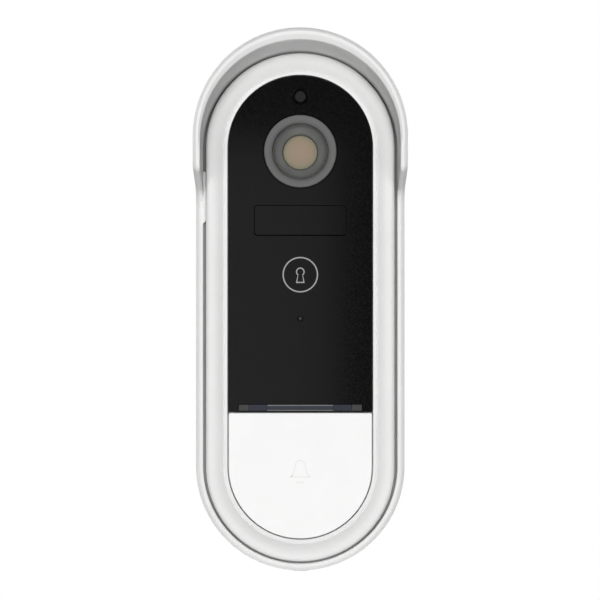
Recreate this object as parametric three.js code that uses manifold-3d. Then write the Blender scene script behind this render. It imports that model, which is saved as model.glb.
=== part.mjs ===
// Battery video doorbell standing in a white rain cover with a hood, as separate pieces.
// Millimetres. +X is to the visitor's right, +Z is up, and the wall is the plane y = 0.
// Depths are distances in front of the wall, so a depth of 10 is at y = -10.
// The long outlines are all pills: a half circle at ARC_Z, one at -ARC_Z, and straight sides.
import * as THREE from "three";
import { mergeVertices } from "three/addons/utils/BufferGeometryUtils.js";
import Module from "manifold-3d";

const wasm = await Module();
wasm.setup();

// Driving dimensions.
const ARC_Z = 42.2; // height of the centres of the pill's round ends
const COVER_RADIUS = 27.65;
const COVER_FOOT = -(ARC_Z + COVER_RADIUS); // lowest point of the cover's outline
const COVER_WALL = 1.95;
const COVER_FLOOR = 2.0;
const RIM_DEPTH = 34.5; // front edge of the cover's rim
const GROOVE_DEPTH = 33.0; // floor of the narrow groove between the rim and the body
const HOOD_DEPTH = 50.5; // front edge of the hood
const HOOD_RISE = 2.1; // how much higher the hood's top is at its front edge than at the wall
const HOOD_RISE_INSIDE = 1.6;
const HOOD_DROP_INSIDE = 0.45; // how much the hood's inside comes down to the body at its root
const BODY_RADIUS = 24.9;
const BODY_WALL = 2.0;
const BODY_BACK = 4.8;
const REAR_WALL = 2.8; // thickness of the casing's rear wall
const SPLIT_DEPTH = 20.0; // where the rear housing ends
const SEAL_THICKNESS = 0.6;
const FIT = 0.15; // play at each face of pieces that touch
const APERTURE_RADIUS = 19.25; // the bezel's opening, filled by the face and the button
const LEDGE_RADIUS = 17.4; // the bezel's inner ledge, which the face rests on
const LEDGE_BACK = 31.6;
const LEDGE_FRONT = 33.2;
const FACE_BACK = 33.3;
const FACE_FRONT = 35.3;
const BEZEL_FRONT = 37.0; // crest of the bezel, near its outer edge
const BEZEL_FILLET = 1.2; // rounding of its outer edge
const LAND_DEPTH = 35.7; // the narrow flat band at the bezel's inner edge
const LAND_RADIUS = 20.25;
const BUTTON_GAP = 0.3; // round the button
const BUTTON_TOP_GAP = 0.17; // between the button and the face
const FACE_BOTTOM = -27.75; // lower edge of the black face, where the button begins
const BUTTON_FRONT = 35.7;
const BUTTON_Z = -44; // height of the button's post and of its switch
const LENS_Z = 41.2;
const LED_REACH = 9.5; // of each infrared LED from the lens, sideways and up or down
const MOTION_Z = 23.0; // height of the motion sensor
const LIGHT_SENSOR_Z = 55.7;
const MICROPHONE_Z = -3.0;
const SLOT = { halfWidth: 16.55, top: -25.56 };
const CELL = { radius: 9.1, x: 9.3, depth: 16.9, bottom: -53.4, top: 11.8 };
const MAIN_BOARD = { back: 26.4, front: 27.6 };
const SENSOR_BOARD = { back: 27.7, front: 28.7 };
const CAMERA_BOARD = { back: 9.7, front: 10.9 };
const PORT = { bottom: 22.8, top: 31.8, back: 27.8, front: 31.0 }; // charging socket
const RESET = { z: 34.3, depth: 28.7 };
const FLAP = { bottom: 22.0, top: 36.0, back: 26.8, front: 32.6, outside: -24.8, inside: -23.9 };
const LUG = { bottom: 21.4, top: 35.9, front: 34.3, slant: 1.4 }; // fills the groove on the left
const DOOR = { halfWidth: 20.3, bottom: -55.3, top: 19, corner: 7.5, thickness: 1.2 };
const BRACKET = { back: COVER_FLOOR + 0.2, front: COVER_FLOOR + 2.2 };
const FILTER = { travel: 6, pane: 5, back: 14.7, front: 15.5 };
const SPEAKER = { halfWidth: 13.5, bottom: -22.5, top: -7.5, back: 27.9, front: 31.5 };
const PEGS = [50, -58.5]; // heights of the bracket's two locating pegs
const WALL_HOLES = [30, -30]; // heights of the holes for the wall screws
const BRACKET_SCREWS = { upper: 12, lower: -12 };
const CASING_SCREWS = [
  { name: "casing_screw_upper_left", x: -17.5, z: 50 },
  { name: "casing_screw_upper_right", x: 17.5, z: 50 },
  { name: "casing_screw_lower_left", x: -10, z: -59 },
  { name: "casing_screw_lower_right", x: 10, z: -59 },
];
const DOOR_SCREWS = { left: -12, right: 12, z: 16.5 };
const SECURITY_SCREW = { depth: 27.5, padRadius: 2.25, padHeight: 0.75, headRadius: 1.6 };

const PILL_ARC_FACETS = 22; // facets of each round end of a pill
const ROD_FACETS = 14;
const CORNER_FACETS = 4;
const PILL_STEPS = 44; // facets round a swept pill
const WELD = 1e-4; // vertices closer than this are one

const FINISHES = {
  white_cover: { color: 0xf1f1ef, roughness: 0.5, metalness: 0 },
  white_casing: { color: 0xf3f3f1, roughness: 0.38, metalness: 0 },
  white_button: { color: 0xf7f7f5, roughness: 0.3, metalness: 0 },
  black_gloss: { color: 0x0b0b0d, roughness: 0.08, metalness: 0 },
  grey_metal: { color: 0x77797b, roughness: 0.4, metalness: 0.3 },
  smoked_glass: { color: 0x2b2d38, roughness: 0.1, metalness: 0 },
  clear_glass: { color: 0xdfe6ea, roughness: 0.03, metalness: 0 },
  coated_lens: { color: 0xa09080, roughness: 0.05, metalness: 0 },
  cyan_filter: { color: 0x7fb0c8, roughness: 0.05, metalness: 0 },
  black_plastic: { color: 0x1b1b1d, roughness: 0.5, metalness: 0 },
  dark_rubber: { color: 0x2a2a2c, roughness: 0.8, metalness: 0 },
  white_rubber: { color: 0xecece9, roughness: 0.7, metalness: 0 },
  circuit_board: { color: 0x14532e, roughness: 0.45, metalness: 0 },
  steel: { color: 0xb9bcc0, roughness: 0.3, metalness: 1 },
  nickel: { color: 0xcfcbc0, roughness: 0.25, metalness: 1 },
  cell_sleeve: { color: 0x2f6db3, roughness: 0.35, metalness: 0.1 },
};

// Solids.

/** A closed three.js geometry as a manifold-3d solid, with its faces turned out. */
function solid(geometry) {
  const bare = new THREE.BufferGeometry();
  bare.setAttribute("position", geometry.getAttribute("position"));
  bare.setIndex(geometry.index);
  const merged = mergeVertices(bare, WELD);
  const corners = Array.from(merged.index.array);
  const triVerts = [];
  for (let i = 0; i < corners.length; i += 3) {
    const [a, b, c] = corners.slice(i, i + 3);
    const collapsed = a === b || b === c || c === a;
    if (!collapsed) triVerts.push(a, b, c);
  }
  const vertProperties = merged.attributes.position.array;
  const made = manifoldOf(vertProperties, triVerts);
  if (made.volume() > 0) return made;
  return manifoldOf(vertProperties, triVerts.reverse());
}

function manifoldOf(vertProperties, triVerts) {
  const mesh = new wasm.Mesh({ numProp: 3, vertProperties, triVerts: new Uint32Array(triVerts) });
  return new wasm.Manifold(mesh);
}

/** A flat outline in the front view, x across and z up, from one depth to another. */
function slab(outline, from, to, bevel = 0) {
  return solid(slabGeometry(outline, from, to, bevel));
}

function slabGeometry(outline, from, to, bevel = 0) {
  const geometry = new THREE.ExtrudeGeometry(outline, {
    depth: to - from - 2 * bevel,
    curveSegments: outline.arcFacets / 2, // three.js gives an arc twice this number
    bevelEnabled: bevel > 0,
    bevelThickness: bevel,
    bevelSize: bevel,
    bevelOffset: -bevel,
    bevelSegments: 2,
  });
  geometry.translate(0, 0, from + bevel);
  geometry.rotateX(Math.PI / 2);
  return geometry;
}

/** A pill slab whose round top rises evenly by rise, after a first step of start. */
function risingPill(radius, from, to, rise, start = 0) {
  const geometry = slabGeometry(pill(radius), from, to);
  const position = geometry.getAttribute("position");
  for (let i = 0; i < position.count; i++) {
    const share = (-position.getY(i) - from) / (to - from);
    if (position.getZ(i) > 0) position.setZ(i, position.getZ(i) + start + rise * share);
  }
  return solid(geometry);
}

/** An outline in the side view, drawn as (depth, z), cut right across the object. */
function sideCut(outline, halfWidth) {
  const geometry = new THREE.ExtrudeGeometry(outline, {
    depth: 2 * halfWidth,
    curveSegments: 5,
    bevelEnabled: false,
  });
  geometry.translate(0, 0, -halfWidth);
  const depthAxis = new THREE.Vector3(0, -1, 0);
  const heightAxis = new THREE.Vector3(0, 0, 1);
  const widthAxis = new THREE.Vector3(-1, 0, 0);
  geometry.applyMatrix4(new THREE.Matrix4().makeBasis(depthAxis, heightAxis, widthAxis));
  return solid(geometry);
}

/** A box between two x, two depths and two z. */
function block(x, depth, z) {
  const geometry = new THREE.BoxGeometry(x[1] - x[0], depth[1] - depth[0], z[1] - z[0]);
  geometry.translate((x[0] + x[1]) / 2, -(depth[0] + depth[1]) / 2, (z[0] + z[1]) / 2);
  return solid(geometry);
}

/** A round rod that stands out from the wall. */
function rod(radius, from, to, x, z) {
  return slab(circle(radius, x, z), from, to);
}

/** A round rod along the height, between two z. */
function uprightRod(radius, bottom, top, x, depth, steps = ROD_FACETS) {
  const geometry = new THREE.CylinderGeometry(radius, radius, top - bottom, steps);
  geometry.rotateX(Math.PI / 2);
  geometry.translate(x, -depth, (bottom + top) / 2);
  return solid(geometry);
}

/** A turned piece about a line that stands out from the wall. Its profile is (radius, depth). */
function turned(profile, x, z, steps = 32) {
  const geometry = new THREE.LatheGeometry(points(profile), steps);
  geometry.rotateX(Math.PI);
  geometry.translate(x, 0, z);
  return solid(geometry);
}

/** A section of (radius, depth) swept round the pill: a lathe pulled apart at its middle. */
function sweptPill(profile) {
  const halfStep = Math.PI / PILL_STEPS;
  const quarter = Math.PI / 2;
  const geometry = new THREE.LatheGeometry(points(profile), PILL_STEPS, quarter + halfStep);
  geometry.rotateX(Math.PI);
  const position = geometry.getAttribute("position");
  for (let i = 0; i < position.count; i++) {
    const z = position.getZ(i);
    position.setZ(i, z + Math.sign(z) * ARC_Z);
  }
  return solid(geometry);
}

function points(pairs) {
  return pairs.map(([a, b]) => new THREE.Vector2(a, b));
}

function joined(...shapes) {
  return shapes.reduce((whole, next) => whole.add(next));
}

function cut(whole, ...tools) {
  return tools.reduce((left, tool) => left.subtract(tool), whole);
}

// Outlines.

/** An empty outline whose arcs get this many facets each. */
function outlineWith(arcFacets) {
  const outline = new THREE.Shape();
  outline.arcFacets = arcFacets;
  return outline;
}

function pill(radius, centreZ = ARC_Z) {
  const outline = outlineWith(PILL_ARC_FACETS);
  outline.moveTo(radius, -centreZ);
  outline.lineTo(radius, centreZ);
  outline.absarc(0, centreZ, radius, 0, Math.PI);
  outline.lineTo(-radius, -centreZ);
  outline.absarc(0, -centreZ, radius, Math.PI, 2 * Math.PI);
  return outline;
}

function circle(radius, x = 0, z = 0) {
  const outline = outlineWith(radius > 4 ? 2 * ROD_FACETS : ROD_FACETS);
  outline.absarc(x, z, radius, 0, 2 * Math.PI);
  return outline;
}

function roundedBox(left, right, bottom, top, corner) {
  const outline = outlineWith(CORNER_FACETS);
  const quarter = Math.PI / 2;
  outline.moveTo(right, bottom + corner);
  outline.lineTo(right, top - corner);
  outline.absarc(right - corner, top - corner, corner, 0, quarter);
  outline.lineTo(left + corner, top);
  outline.absarc(left + corner, top - corner, corner, quarter, 2 * quarter);
  outline.lineTo(left, bottom + corner);
  outline.absarc(left + corner, bottom + corner, corner, 2 * quarter, 3 * quarter);
  outline.lineTo(right - corner, bottom);
  outline.absarc(right - corner, bottom + corner, corner, 3 * quarter, 4 * quarter);
  return outline;
}

/** The round lower end of a pill, cut straight at its top. */
function pillFoot(radius, top) {
  const outline = outlineWith(PILL_ARC_FACETS);
  outline.moveTo(radius, -ARC_Z);
  outline.lineTo(radius, top);
  outline.lineTo(-radius, top);
  outline.lineTo(-radius, -ARC_Z);
  outline.absarc(0, -ARC_Z, radius, Math.PI, 2 * Math.PI);
  return outline;
}

/** The round upper end of a pill, cut straight at its bottom. */
function pillHead(radius, bottom) {
  const outline = outlineWith(PILL_ARC_FACETS);
  outline.moveTo(radius, bottom);
  outline.lineTo(radius, ARC_Z);
  outline.absarc(0, ARC_Z, radius, 0, Math.PI);
  outline.lineTo(-radius, bottom);
  outline.closePath();
  return outline;
}

// Rain cover and its fixings.

/** What is cut away in front of the rim, below the hood, seen from the side as (depth, z). */
function hoodSideCut() {
  const beyond = 90;
  const rimEnd = 27;
  const tip = { depth: HOOD_DEPTH, z: 35.4 };
  const root = { depth: RIM_DEPTH, z: 30.2 };
  const outline = new THREE.Shape();
  outline.moveTo(RIM_DEPTH, -beyond);
  outline.lineTo(beyond, -beyond);
  outline.lineTo(beyond, tip.z + 2.4);
  outline.lineTo(tip.depth, tip.z + 2.4);
  outline.quadraticCurveTo(tip.depth, tip.z, tip.depth - 2.4, tip.z - 0.7);
  outline.lineTo(root.depth + 3.6, root.z + 1.2);
  outline.quadraticCurveTo(root.depth, root.z, root.depth, rimEnd);
  outline.closePath();
  return sideCut(outline, COVER_RADIUS + 5);
}

function rainCover() {
  const { depth, padRadius, padHeight, headRadius } = SECURITY_SCREW;
  const cavity = COVER_RADIUS - COVER_WALL;
  const past = 2;
  const outside = risingPill(COVER_RADIUS, 0, HOOD_DEPTH, HOOD_RISE);
  const insideTray = slab(pill(BODY_RADIUS + 0.2), COVER_FLOOR, GROOVE_DEPTH + 0.5);
  const insideHood = risingPill(
    cavity, GROOVE_DEPTH, HOOD_DEPTH + past, HOOD_RISE_INSIDE, -HOOD_DROP_INSIDE,
  );
  const pad = uprightRod(padRadius, COVER_FOOT - padHeight, COVER_FOOT + 1, 0, depth);
  const wallHoles = WALL_HOLES.map((z) => rod(2.2, -1, COVER_FLOOR + 1, 0, z));
  const screwHeights = [BRACKET_SCREWS.upper, BRACKET_SCREWS.lower];
  const screwHoles = screwHeights.map((z) => rod(1.35, 0.6, COVER_FLOOR + 1, 0, z));
  const shankHole = uprightRod(1.35, COVER_FOOT - 1, COVER_FOOT + 3, 0, depth);
  const headHole = uprightRod(headRadius + FIT, COVER_FOOT - 1, COVER_FOOT + 0.9, 0, depth);
  const tray = cut(outside, insideTray, insideHood, hoodSideCut());
  return cut(joined(tray, pad, sideLug()), ...wallHoles, ...screwHoles, shankHole, headHole);
}

/** The lug that fills a stretch of the groove on the left. Its lower end is slanted. */
function sideLug() {
  const wallSide = -(COVER_RADIUS - 1);
  const bodySide = -(BODY_RADIUS + FIT);
  const outline = outlineWith(CORNER_FACETS);
  outline.moveTo(wallSide, LUG.bottom);
  outline.lineTo(bodySide, LUG.bottom + LUG.slant);
  outline.lineTo(bodySide, LUG.top);
  outline.lineTo(wallSide, LUG.top);
  outline.closePath();
  return slab(outline, GROOVE_DEPTH - 2, LUG.front);
}

function mountingBracket() {
  const plate = slab(pill(17, 44), BRACKET.back, BRACKET.front);
  const pegs = PEGS.map((z) => rod(2.4, BRACKET.front - 0.5, 8.5, 0, z));
  const wallHoles = WALL_HOLES.map((z) => rod(2.2, 1, 6, 0, z));
  const screwHeights = [BRACKET_SCREWS.upper, BRACKET_SCREWS.lower];
  const screwSeats = screwHeights.map((z) =>
    joined(rod(1.4, 1, 6, 0, z), rod(2.75, BRACKET.front - 1.2, 6, 0, z)),
  );
  const windows = [-1, 1].map((side) => {
    const middle = 10.5 * side;
    return slab(roundedBox(middle - 3, middle + 3, -26, 26, 2.8), 1, 6);
  });
  return cut(joined(plate, ...pegs), ...wallHoles, ...screwSeats, ...windows);
}

/** A screw from the top of its head, at headFrom, to its tip, either way along the depth. */
function screw({ x, z, headRadius, shankRadius, headFrom, headTo, tip, recess }) {
  const span = (a, b) => [Math.min(a, b), Math.max(a, b)];
  const head = rod(headRadius, ...span(headFrom, headTo), x, z);
  const shank = rod(shankRadius, ...span((headFrom + headTo) / 2, tip), x, z);
  const inward = Math.sign(tip - headFrom);
  const socket = span(headFrom - inward, headFrom + inward * recess);
  const arm = 0.25 * headRadius;
  const reach = 0.62 * headRadius;
  const acrossX = block([x - reach, x + reach], socket, [z - arm, z + arm]);
  const acrossZ = block([x - arm, x + arm], socket, [z - reach, z + reach]);
  return cut(joined(head, shank), acrossX, acrossZ);
}

function bracketScrew(z) {
  const headFrom = BRACKET.front - 0.1;
  const headTo = headFrom - 0.95;
  return screw({
    x: 0, z, headRadius: 2.6, shankRadius: 1.2, headFrom, headTo, tip: 0.8, recess: 0.45,
  });
}

/** The security screw, backed off, with its head in the pad under the cover. */
function securityScrew() {
  const { depth, padHeight, headRadius } = SECURITY_SCREW;
  const head = uprightRod(headRadius, COVER_FOOT - padHeight + 0.1, COVER_FOOT + 0.8, 0, depth);
  const shank = uprightRod(1.15, COVER_FOOT + 0.5, COVER_FOOT + 2.35, 0, depth);
  const socket = uprightRod(0.9, COVER_FOOT - 2, COVER_FOOT, 0, depth, 6);
  return cut(joined(head, shank), socket);
}

// Casing.

/** The bezel's section: round outer edge, crest, hollow slope, flat land and inner ledge. */
function bezelProfile() {
  const back = SPLIT_DEPTH + SEAL_THICKNESS + 2 * FIT;
  const inner = BODY_RADIUS - BODY_WALL;
  const edge = [0, 1, 2, 3].map((i) => {
    const turn = (Math.PI / 6) * i;
    const radius = BODY_RADIUS - BEZEL_FILLET * (1 - Math.cos(turn));
    return [radius, BEZEL_FRONT - BEZEL_FILLET * (1 - Math.sin(turn))];
  });
  const slopeStart = BODY_RADIUS - BEZEL_FILLET - 0.2;
  const slope = [0, 0.4, 0.7, 1].map((share) => {
    const radius = slopeStart + (LAND_RADIUS - slopeStart) * share;
    return [radius, BEZEL_FRONT - (BEZEL_FRONT - LAND_DEPTH) * share ** 2];
  });
  return [
    [inner, back],
    [BODY_RADIUS, back],
    ...edge,
    ...slope,
    [APERTURE_RADIUS, LAND_DEPTH],
    [APERTURE_RADIUS, LEDGE_FRONT],
    [LEDGE_RADIUS, LEDGE_FRONT],
    [LEDGE_RADIUS, LEDGE_BACK],
    [inner, LEDGE_BACK],
    [inner, back],
  ];
}

function frontBezel() {
  const back = SPLIT_DEPTH + SEAL_THICKNESS + 2 * FIT;
  const ring = sweptPill(bezelProfile());
  const posts = CASING_SCREWS.map(({ x, z }) => rod(2.2, back, LEDGE_BACK + 0.5, x, z));
  const screwHoles = CASING_SCREWS.map(({ x, z }) => rod(1.25, back - 1, 29, x, z));
  const far = -BODY_RADIUS - 1;
  const grown = (low, high, play) => [low - play, high + play];
  const recess = block(
    [far, FLAP.inside + FIT],
    grown(FLAP.back, FLAP.front, FIT),
    grown(FLAP.bottom, FLAP.top, FIT),
  );
  const socketSpan = grown(PORT.bottom, PORT.top, 0.4);
  const socketHole = block([far, -20], grown(PORT.back, PORT.front, 0.4), socketSpan);
  const resetSpan = grown(RESET.z, RESET.z, 0.9);
  const resetHole = block([far, -20], grown(RESET.depth, RESET.depth, 0.9), resetSpan);
  const foot = -(ARC_Z + BODY_RADIUS);
  const lockDimple = uprightRod(1.6, foot - 1, foot + 0.9, 0, SECURITY_SCREW.depth);
  return cut(joined(ring, ...posts), ...screwHoles, recess, socketHole, resetHole, lockDimple);
}

function rearHousing() {
  const inner = BODY_RADIUS - BODY_WALL;
  const floor = BODY_BACK + REAR_WALL;
  const edge = 1.2;
  const shell = joined(
    slab(pill(BODY_RADIUS), BODY_BACK + edge, SPLIT_DEPTH),
    slab(pill(BODY_RADIUS), BODY_BACK, BODY_BACK + 4, edge),
  );
  const hollow = slab(pill(inner), floor, SPLIT_DEPTH + 1);
  const posts = CASING_SCREWS.map(({ x, z }) => rod(2.9, floor - 0.5, SPLIT_DEPTH - 0.2, x, z));
  const standoffs = [-9, 9].map((x) => rod(1.8, floor - 0.5, CAMERA_BOARD.back - FIT, x, 31.5));
  const { halfWidth, bottom, top, corner } = DOOR;
  const play = 0.3;
  const recess = slab(
    roundedBox(-halfWidth - play, halfWidth + play, bottom - play, top + play, corner),
    BODY_BACK - 1,
    BODY_BACK + 1.8,
  );
  const opening = slab(roundedBox(-18.9, 18.9, -54, 13.9, 7), BODY_BACK, floor + 1);
  const doorScrewsX = [DOOR_SCREWS.left, DOOR_SCREWS.right];
  const doorBosses = doorScrewsX.map((x) => rod(2.4, floor - 0.5, floor + 1.6, x, DOOR_SCREWS.z));
  const doorScrewHoles = doorScrewsX.map((x) => rod(1.15, BODY_BACK, floor + 2, x, DOOR_SCREWS.z));
  const pegHoles = PEGS.map((z) => rod(2.8, BODY_BACK - 1, floor + 1, 0, z));
  const screwHoles = CASING_SCREWS.map(({ x, z }) =>
    joined(rod(1.35, BODY_BACK, SPLIT_DEPTH + 1, x, z), rod(2.4, BODY_BACK - 1, floor + 0.4, x, z)),
  );
  const ventHole = rod(1.2, BODY_BACK - 1, floor + 1, -13, 27);
  const tub = cut(joined(cut(shell, hollow), ...posts, ...standoffs, ...doorBosses), recess, opening);
  return cut(tub, ...doorScrewHoles, ...pegHoles, ...screwHoles, ventHole);
}

function casingSeal() {
  const back = SPLIT_DEPTH + FIT;
  return cut(
    slab(pill(BODY_RADIUS - 0.4), back, back + SEAL_THICKNESS),
    slab(pill(BODY_RADIUS - BODY_WALL + 0.1), back - 1, back + SEAL_THICKNESS + 1),
  );
}

function casingScrew({ x, z }) {
  const headFrom = BODY_BACK + 0.8;
  return screw({
    x, z, headRadius: 2.15, shankRadius: 1.1, headFrom, headTo: headFrom + 1.8, tip: 28, recess: 0.9,
  });
}

// Battery compartment.

function batteryDoor() {
  const { halfWidth, bottom, top, corner, thickness } = DOOR;
  const outline = roundedBox(-halfWidth, halfWidth, bottom, top, corner);
  const outside = BODY_BACK - 1;
  const screwSeats = [DOOR_SCREWS.left, DOOR_SCREWS.right].map((x) => {
    const shankHole = rod(1.3, outside, BODY_BACK + 3, x, DOOR_SCREWS.z);
    return joined(shankHole, rod(2.2, outside, BODY_BACK + 0.8, x, DOOR_SCREWS.z));
  });
  const grooves = [0, 1, 2, 3].map((i) => {
    const bottomOfGroove = 6 - 2.4 * i;
    return block([-7, 7], [outside, BODY_BACK + 0.4], [bottomOfGroove, bottomOfGroove + 1]);
  });
  return cut(slab(outline, BODY_BACK, BODY_BACK + thickness), ...screwSeats, ...grooves);
}

function batteryDoorSeal() {
  const from = BODY_BACK + DOOR.thickness + 0.1;
  const to = BODY_BACK + 1.8 - 0.1;
  const outer = slab(roundedBox(-20.2, 20.2, -55.2, 15, 7.4), from, to);
  return cut(outer, slab(roundedBox(-19.1, 19.1, -54.1, 13.9, 6.8), from - 1, to + 1));
}

function doorScrew(x) {
  return screw({
    x, z: DOOR_SCREWS.z, headRadius: 1.95, shankRadius: 0.95,
    headFrom: BODY_BACK + 0.1, headTo: BODY_BACK + 0.7, tip: BODY_BACK + 4.2, recess: 0.3,
  });
}

/** A round cell with a narrower neck and a raised contact at the end where positive is. */
function batteryCell(x, positiveUp) {
  const { radius, depth, bottom, top } = CELL;
  const neck = 1.0;
  const raised = 0.9;
  const profile = [
    [0, 0],
    [radius - 0.6, 0],
    [radius, 0.6],
    [radius, top - bottom - raised - neck],
    [radius - 0.7, top - bottom - raised - 0.3],
    [radius - 1.2, top - bottom - raised],
    [2.9, top - bottom - raised],
    [2.9, top - bottom],
    [0, top - bottom],
  ];
  const geometry = new THREE.LatheGeometry(points(profile), 32);
  geometry.rotateX(positiveUp ? Math.PI / 2 : -Math.PI / 2);
  geometry.translate(x, -depth, positiveUp ? bottom : top);
  return solid(geometry);
}

/** The metal strip that joins the two cells at one end, from one z to another. */
function batteryContact(bottom, top) {
  return block([-15.5, 15.5], [11, 22.5], [bottom, top]);
}

// Front face.

function facePlate() {
  const sheet = slab(pillHead(APERTURE_RADIUS - FIT, FACE_BOTTOM), FACE_BACK, FACE_FRONT);
  const lensHole = rod(9.85, 30, 40, 0, LENS_Z);
  const motionHole = slab(roundedBox(-12.45, 12.45, MOTION_Z - 4.25, MOTION_Z + 4.25, 1.1), 30, 40);
  const lightHole = rod(1.9, 30, 40, 0, LIGHT_SENSOR_Z);
  const microphoneHole = rod(0.6, 30, 40, 0, MICROPHONE_Z);
  const slot = block([-SLOT.halfWidth, SLOT.halfWidth], [30, 40], [FACE_BOTTOM - 1, SLOT.top]);
  return cut(sheet, lensHole, motionHole, lightHole, microphoneHole, slot);
}

function motionWindow() {
  return slab(roundedBox(-12.2, 12.2, MOTION_Z - 4, MOTION_Z + 4, 0.9), FACE_BACK, FACE_FRONT - 0.1);
}

function lightSensorWindow() {
  const profile = [
    [0, 30.2],
    [2.6, 30.2],
    [2.6, 32.8],
    [1.45, 32.8],
    [1.45, 35.0],
    [1.2, 35.15],
    [0, 35.2],
  ];
  return turned(profile, 0, LIGHT_SENSOR_Z, 24);
}

function slotWindow() {
  const middle = (SLOT.top + FACE_BOTTOM) / 2;
  const half = SLOT.halfWidth - 0.2;
  const bar = block([-half, half], [32.4, 34.9], [FACE_BOTTOM + 0.25, SLOT.top - 0.2]);
  const soundSlit = block([-8.8, 8.8], [30, 40], [middle - 0.4, middle + 0.35]);
  return cut(bar, soundSlit);
}

function speakerMesh() {
  return block([-10, 10], [31.8, 32.2], [-27.3, -25.4]);
}

function statusLed(x) {
  const outline = roundedBox(x - 1.3, x + 1.3, -28, -25.9, 0.4);
  return slab(outline, MAIN_BOARD.front + FIT, MAIN_BOARD.front + 1.6);
}

// Camera.

function lensRing() {
  const profile = [
    [7.6, 32.0],
    [9.55, 32.0],
    [9.55, 36.1],
    [9.3, 36.35],
    [8.1, 36.2],
    [7.5, 35.6],
    [7.5, 34.2],
    [7.6, 34.0],
    [7.6, 32.0],
  ];
  return turned(profile, 0, LENS_Z, 48);
}

function lensWindow() {
  const profile = [
    [0, 34.3],
    [7.2, 34.3],
    [7.2, 35.1],
    [5.4, 35.5],
    [3.0, 35.75],
    [0, 35.85],
  ];
  return turned(profile, 0, LENS_Z, 40);
}

function lensBarrel() {
  const profile = [
    [4.7, 17],
    [6.4, 17],
    [6.4, 30.6],
    [7.3, 31.6],
    [7.3, 34.1],
    [7.0, 34.1],
    [6.6, 33.4],
    [4.9, 32.4],
    [4.7, 31.9],
    [4.7, 17],
  ];
  return turned(profile, 0, LENS_Z);
}

function frontLens() {
  const profile = [
    [0, 29.2],
    [4.5, 29.6],
    [4.5, 31.0],
    [3.2, 31.7],
    [1.6, 32.1],
    [0, 32.2],
  ];
  return turned(profile, 0, LENS_Z, 32);
}

function lensHolder() {
  const box = slab(roundedBox(-10, 10, LENS_Z - 8, LENS_Z + 8, 1), CAMERA_BOARD.front + FIT, 21);
  const barrelSeat = rod(6.6, 16.8, 22, 0, LENS_Z);
  const lightWay = rod(4.2, 13, 18, 0, LENS_Z);
  const filterSpace = block([-9.4, 9.4], [14.3, 16.0], [LENS_Z - 4, LENS_Z + 4]);
  const sensorSpace = block([-5, 5], [10, 13.5], [LENS_Z - 4.5, LENS_Z + 4.5]);
  return cut(box, barrelSeat, lightWay, filterSpace, sensorSpace);
}

/** The slide that carries the two filter panes. At rest its first pane is on the lens axis. */
function filterSlide() {
  const { travel, pane, back, front } = FILTER;
  const frame = slab(roundedBox(-9, 3, LENS_Z - 3.4, LENS_Z + 3.4, 0.5), back, front);
  const panes = [0, -travel].map((x) => paneBlock(x, pane / 2, back - 1, front + 1));
  return cut(frame, ...panes);
}

function paneBlock(x, half, back, front) {
  return block([x - half, x + half], [back, front], [LENS_Z - half, LENS_Z + half]);
}

function filterPane(x) {
  return paneBlock(x, FILTER.pane / 2 - 0.05, FILTER.back + 0.15, FILTER.front - 0.15);
}

function imageSensor() {
  const from = CAMERA_BOARD.front + FIT;
  const die = block([-2.8, 2.8], [from + 0.5, from + 1.1], [LENS_Z - 2.2, LENS_Z + 2.2]);
  return joined(block([-4, 4], [from, from + 0.6], [LENS_Z - 3.4, LENS_Z + 3.4]), die);
}

function cameraBoard() {
  const { back, front } = CAMERA_BOARD;
  const sheet = slab(roundedBox(-11, 11, LENS_Z - 12, LENS_Z + 12, 1), back, front);
  const holes = [-9, 9].map((x) => rod(1, back - 1, front + 1, x, 31.5));
  return cut(sheet, ...holes);
}

function sensorBoard() {
  const { back, front } = SENSOR_BOARD;
  const sheet = slab(roundedBox(-13, 13, 17.4, 58.4, 3), back, front);
  return cut(sheet, rod(7, back - 1, front + 1, 0, LENS_Z));
}

function infraredLed(x, z) {
  const from = SENSOR_BOARD.front + FIT;
  const base = block([x - 1.75, x + 1.75], [from, from + 0.9], [z - 1.75, z + 1.75]);
  const profile = [
    [0, from + 0.8],
    [1.5, from + 0.8],
    [1.3, from + 1.6],
    [0.8, from + 2.1],
    [0, from + 2.3],
  ];
  return joined(base, turned(profile, x, z, 16));
}

function lightSensor() {
  const from = SENSOR_BOARD.front + FIT;
  return slab(roundedBox(-1, 1, LIGHT_SENSOR_Z - 1, LIGHT_SENSOR_Z + 1, 0.2), from, from + 0.8);
}

function motionSensor() {
  const from = SENSOR_BOARD.front + FIT;
  const profile = [
    [0, from],
    [4.6, from],
    [4.6, from + 0.6],
    [4.1, from + 0.6],
    [4.1, from + 3.9],
    [0, from + 3.9],
  ];
  const window = block([-2, 2], [from + 3.6, from + 5], [MOTION_Z - 1.5, MOTION_Z + 1.5]);
  return cut(turned(profile, 0, MOTION_Z, 24), window);
}

// Sound.

function microphone() {
  return rod(2, MAIN_BOARD.front + FIT, MAIN_BOARD.front + 1.9, 0, MICROPHONE_Z);
}

/** The rubber boot that leads sound from the hole in the face to the microphone. */
function microphoneBoot() {
  const profile = [
    [2.15, MAIN_BOARD.front + FIT],
    [3, MAIN_BOARD.front + FIT],
    [3, 31.4],
    [1.7, 33.15],
    [0.8, 33.15],
    [0.8, 30.2],
    [2.15, 29.7],
    [2.15, MAIN_BOARD.front + FIT],
  ];
  return turned(profile, 0, MICROPHONE_Z, 28);
}

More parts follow.
